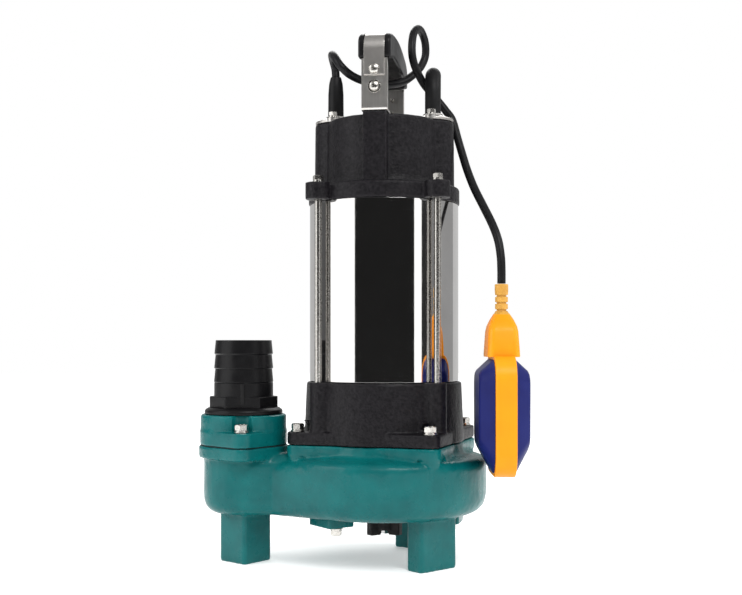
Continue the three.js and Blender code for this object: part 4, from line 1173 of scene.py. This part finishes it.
PARTS = [
    ("volute_casing", volute_casing, green_paint, "green_paint", "pump", None),
    ("suction_cover", suction_cover, green_paint, "green_paint", "pump", None),
    ("discharge_flange", discharge_flange, green_paint, "green_paint", "pump", None),
    ("discharge_gasket", discharge_gasket, gasket_fibre, "gasket", "pump", None),
    ("oil_housing", oil_housing, black_casting, "black_casting", "pump", None),
    ("top_cover", top_cover, black_casting, "black_casting", "pump", None),
    ("motor_barrel", motor_barrel, mirror_steel, "mirror_steel", "pump", None),
    ("hose_tail", hose_tail, black_plastic, "black_plastic", "pump", None),
    ("handle_strap", handle_strap, strap_steel, "mirror_steel", "pump", HEAD),
    ("handle_grip", handle_grip, black_plastic, "black_plastic", "pump", HEAD),
    ("float_cable_boot", straight_boot, black_rubber, "black_rubber", "pump", None),
    ("mains_cable_boot", bent_boot, black_rubber, "black_rubber", "pump", None),
    ("impeller", impeller, bare_iron, "bare_iron", "rotor", None),
    ("cutter", cutter, bare_iron, "bare_iron", "rotor", None),
]
for part, builder, material, slot_name, body, place in PARTS:
    finish_piece(builder(), part + "_shape", material, body, (part,), place)

for side, end in ((-1, "front"), (1, "rear")):
    node = f"handle_bracket_{end}"
    finish_piece(handle_bracket(side), node + "_shape", brushed_steel, "pump",
                 (node,), HEAD)
for side, end in ((-1, "float"), (1, "mains")):
    node = f"{end}_gland_plate"
    finish_piece(gland_plate(side * GLAND["reach"]), node + "_shape", brushed_steel, "pump",
                 (node,), HEAD)
for side, end in ((-1, "left"), (1, "right")):
    node = f"float_shell_{end}"
    finish_piece(float_shell(side), node + "_shape", float_blue, "float", (node,), FLOAT_PLACE)
band = finish_piece(float_band(), "float_band_shape", float_yellow, "float", ("float_band",),
                    FLOAT_PLACE)
paint_neck(band)


def place_bolt(node, solid, x, y, turn=0.0, place=None):
    moved(solid, Matrix.Rotation(math.radians(turn), 4, "Z"))
    finish_piece(shifted(solid, x, y), node + "_shape", zinc_steel, "pump", (node,), place)


for index, degrees in enumerate(SUCTION["angles"], 1):
    bolt = hex_bolt(SUCTION["bottom"], 49, 9, 3, -1)
    place_bolt(f"suction_bolt_{index}", bolt, *around(SUCTION["reach"], degrees), 17 * index)
for index, degrees in enumerate(FLANGE_ANGLES, 1):
    bolt = hex_bolt(FLANGE["top"], 94, 10, 4)
    place_bolt(f"casing_bolt_{index}", bolt, *around(FLANGE["reach"], degrees), 23 * index)
for index, degrees in enumerate(TIE_ANGLES, 1):
    bolt = hex_bolt(COVER["rim_top"], 140, 8.2, TIE["radius"])
    place_bolt(f"tie_bolt_{index}", bolt, *around(TIE["reach"], degrees), 11 + 19 * index)
for side, end in ((-1, "front"), (1, "rear")):
    bolt = hex_bolt(COUNTER["ear_top"], 95, 10.4, 4)
    place_bolt(f"discharge_bolt_{end}", bolt, DISCHARGE["x"], side * DISCHARGE["ear_reach"], 30 + 14 * side)
    bolt = hex_bolt(COVER["top"] + 2.3, 380, 8, 2.4)
    place_bolt(f"bracket_bolt_{end}", bolt, 0, side * BRACKET["bolt"], 8, HEAD)
    for level, seat, washer in (("lower", BRACKET["outer"], 5.6),
                                ("upper", STRAP["side"] + STRAP["thickness"], 4.6)):
        node = f"handle_screw_{end}_{level}"
        screw = pan_screw(side, SCREWS[level], seat, washer)
        finish_piece(screw, node + "_shape", zinc_steel, "pump", (node,), HEAD)
for gland, side in (("float", -1), ("mains", 1)):
    for end, position in ((-1, "front"), (1, "rear")):
        bolt = hex_bolt(COVER["top"] + 3.8, 380, 7, 2.4)
        place_bolt(f"{gland}_gland_screw_{position}", bolt, side * GLAND["reach"], end * GLAND["screw"],
                   20 * side, HEAD)

# ---------------------------------------------------------------- stage and light
def stage_material(name, colour, emission=None, strength=1.0, rough=0.9):
    material = bpy.data.materials.new(name)
    material.use_nodes = True
    shader = material.node_tree.nodes["Principled BSDF"]
    shader.inputs["Base Color"].default_value = (*colour, 1)
    shader.inputs["Roughness"].default_value = rough
    shader.inputs["Specular IOR Level"].default_value = 0.0
    if emission:
        shader.inputs["Emission Color"].default_value = (*emission, 1)
        shader.inputs["Emission Strength"].default_value = strength
    return material


floor_mesh = bpy.data.meshes.new("floor")
floor_mesh.from_pydata([(-6, -6, 0), (6, -6, 0), (6, 6, 0), (-6, 6, 0)], [], [(0, 1, 2, 3)])
floor = bpy.data.objects.new("floor", floor_mesh)
bpy.context.scene.collection.objects.link(floor)
floor_mesh.materials.append(stage_material("floor", (0.88, 0.88, 0.88), (1, 1, 1), 0.3))

# Upright cards round the pump that only mirrors and gloss see: (from, to, brightness), in degrees from
# the camera's side, positive towards +X.
CARDS = [
    (-180, -128, 0.52), (-128, -101, 0.10), (-101, -92, 0.02), (-92, -45, 1.45), (-45, 45, 0.015),
    (45, 57, 1.45), (57, 71, 0.03), (71, 95, 0.22), (95, 130, 0.34), (130, 180, 0.6),
]
CARD_REACH = 1.6


def card(first, last, brightness):
    vertices = []
    steps = 12
    for step in range(steps + 1):
        angle = math.radians(-90 + CAMERA_YAW + first + (last - first) * step / steps)
        x = MOTOR_AXIS.x + CARD_REACH * math.cos(angle)
        y = MOTOR_AXIS.y + CARD_REACH * math.sin(angle)
        vertices += [(x, y, -0.4), (x, y, 1.15)]
    faces = [(2 * i, 2 * i + 2, 2 * i + 3, 2 * i + 1) for i in range(steps)]
    mesh = bpy.data.meshes.new("card")
    mesh.from_pydata(vertices, [], faces)
    obj = bpy.data.objects.new("card", mesh)
    bpy.context.scene.collection.objects.link(obj)
    mesh.materials.append(stage_material("card", (0, 0, 0), (1, 1, 1), brightness))
    obj.visible_camera = False
    obj.visible_diffuse = False
    obj.visible_shadow = False
    obj.visible_transmission = False


for first, last, brightness in CARDS:
    card(first, last, brightness)


def area_light(name, place, target, size, power):
    data = bpy.data.lights.new(name, "AREA")
    data.shape = "RECTANGLE"
    data.size, data.size_y = size
    data.energy = power
    obj = bpy.data.objects.new(name, data)
    obj.location = Vector(place)
    obj.rotation_euler = (Vector(target) - Vector(place)).to_track_quat("-Z", "Y").to_euler()
    bpy.context.scene.collection.objects.link(obj)
    return obj


area_light("key", (0.45, -1.5, 1.7), (0.0, 0, 0.2), (0.9, 0.7), 22)
area_light("left", (-1.7, -0.5, 1.1), (0, 0, 0.2), (1.0, 1.4), 16)
area_light("right", (1.7, -0.2, 1.0), (0, 0, 0.2), (0.8, 1.4), 14)
area_light("rear", (0.2, 1.7, 1.6), (0, 0, 0.2), (1.4, 1.0), 18)

world = bpy.data.worlds.new("studio")
bpy.context.scene.world = world
world.use_nodes = True
background = world.node_tree.nodes["Background"]
background.inputs["Color"].default_value = (1, 1, 1, 1)
# White behind the pump, a little dimmer as light on it, and dim where gloss mirrors it.
BEHIND = 1.0
AMBIENT = 0.9
MIRRORED = 0.3
rays = world.node_tree.nodes.new("ShaderNodeLightPath")
level = AMBIENT
for ray, strength in (("Is Camera Ray", BEHIND), ("Is Glossy Ray", MIRRORED)):
    step = world.node_tree.nodes.new("ShaderNodeMath")
    step.operation = "MULTIPLY_ADD"
    step.inputs[1].default_value = strength - AMBIENT
    step.inputs[2].default_value = AMBIENT
    world.node_tree.links.new(rays.outputs[ray], step.inputs[0])
    if level != AMBIENT:
        world.node_tree.links.new(level, step.inputs[2])
    level = step.outputs["Value"]
world.node_tree.links.new(level, background.inputs["Strength"])
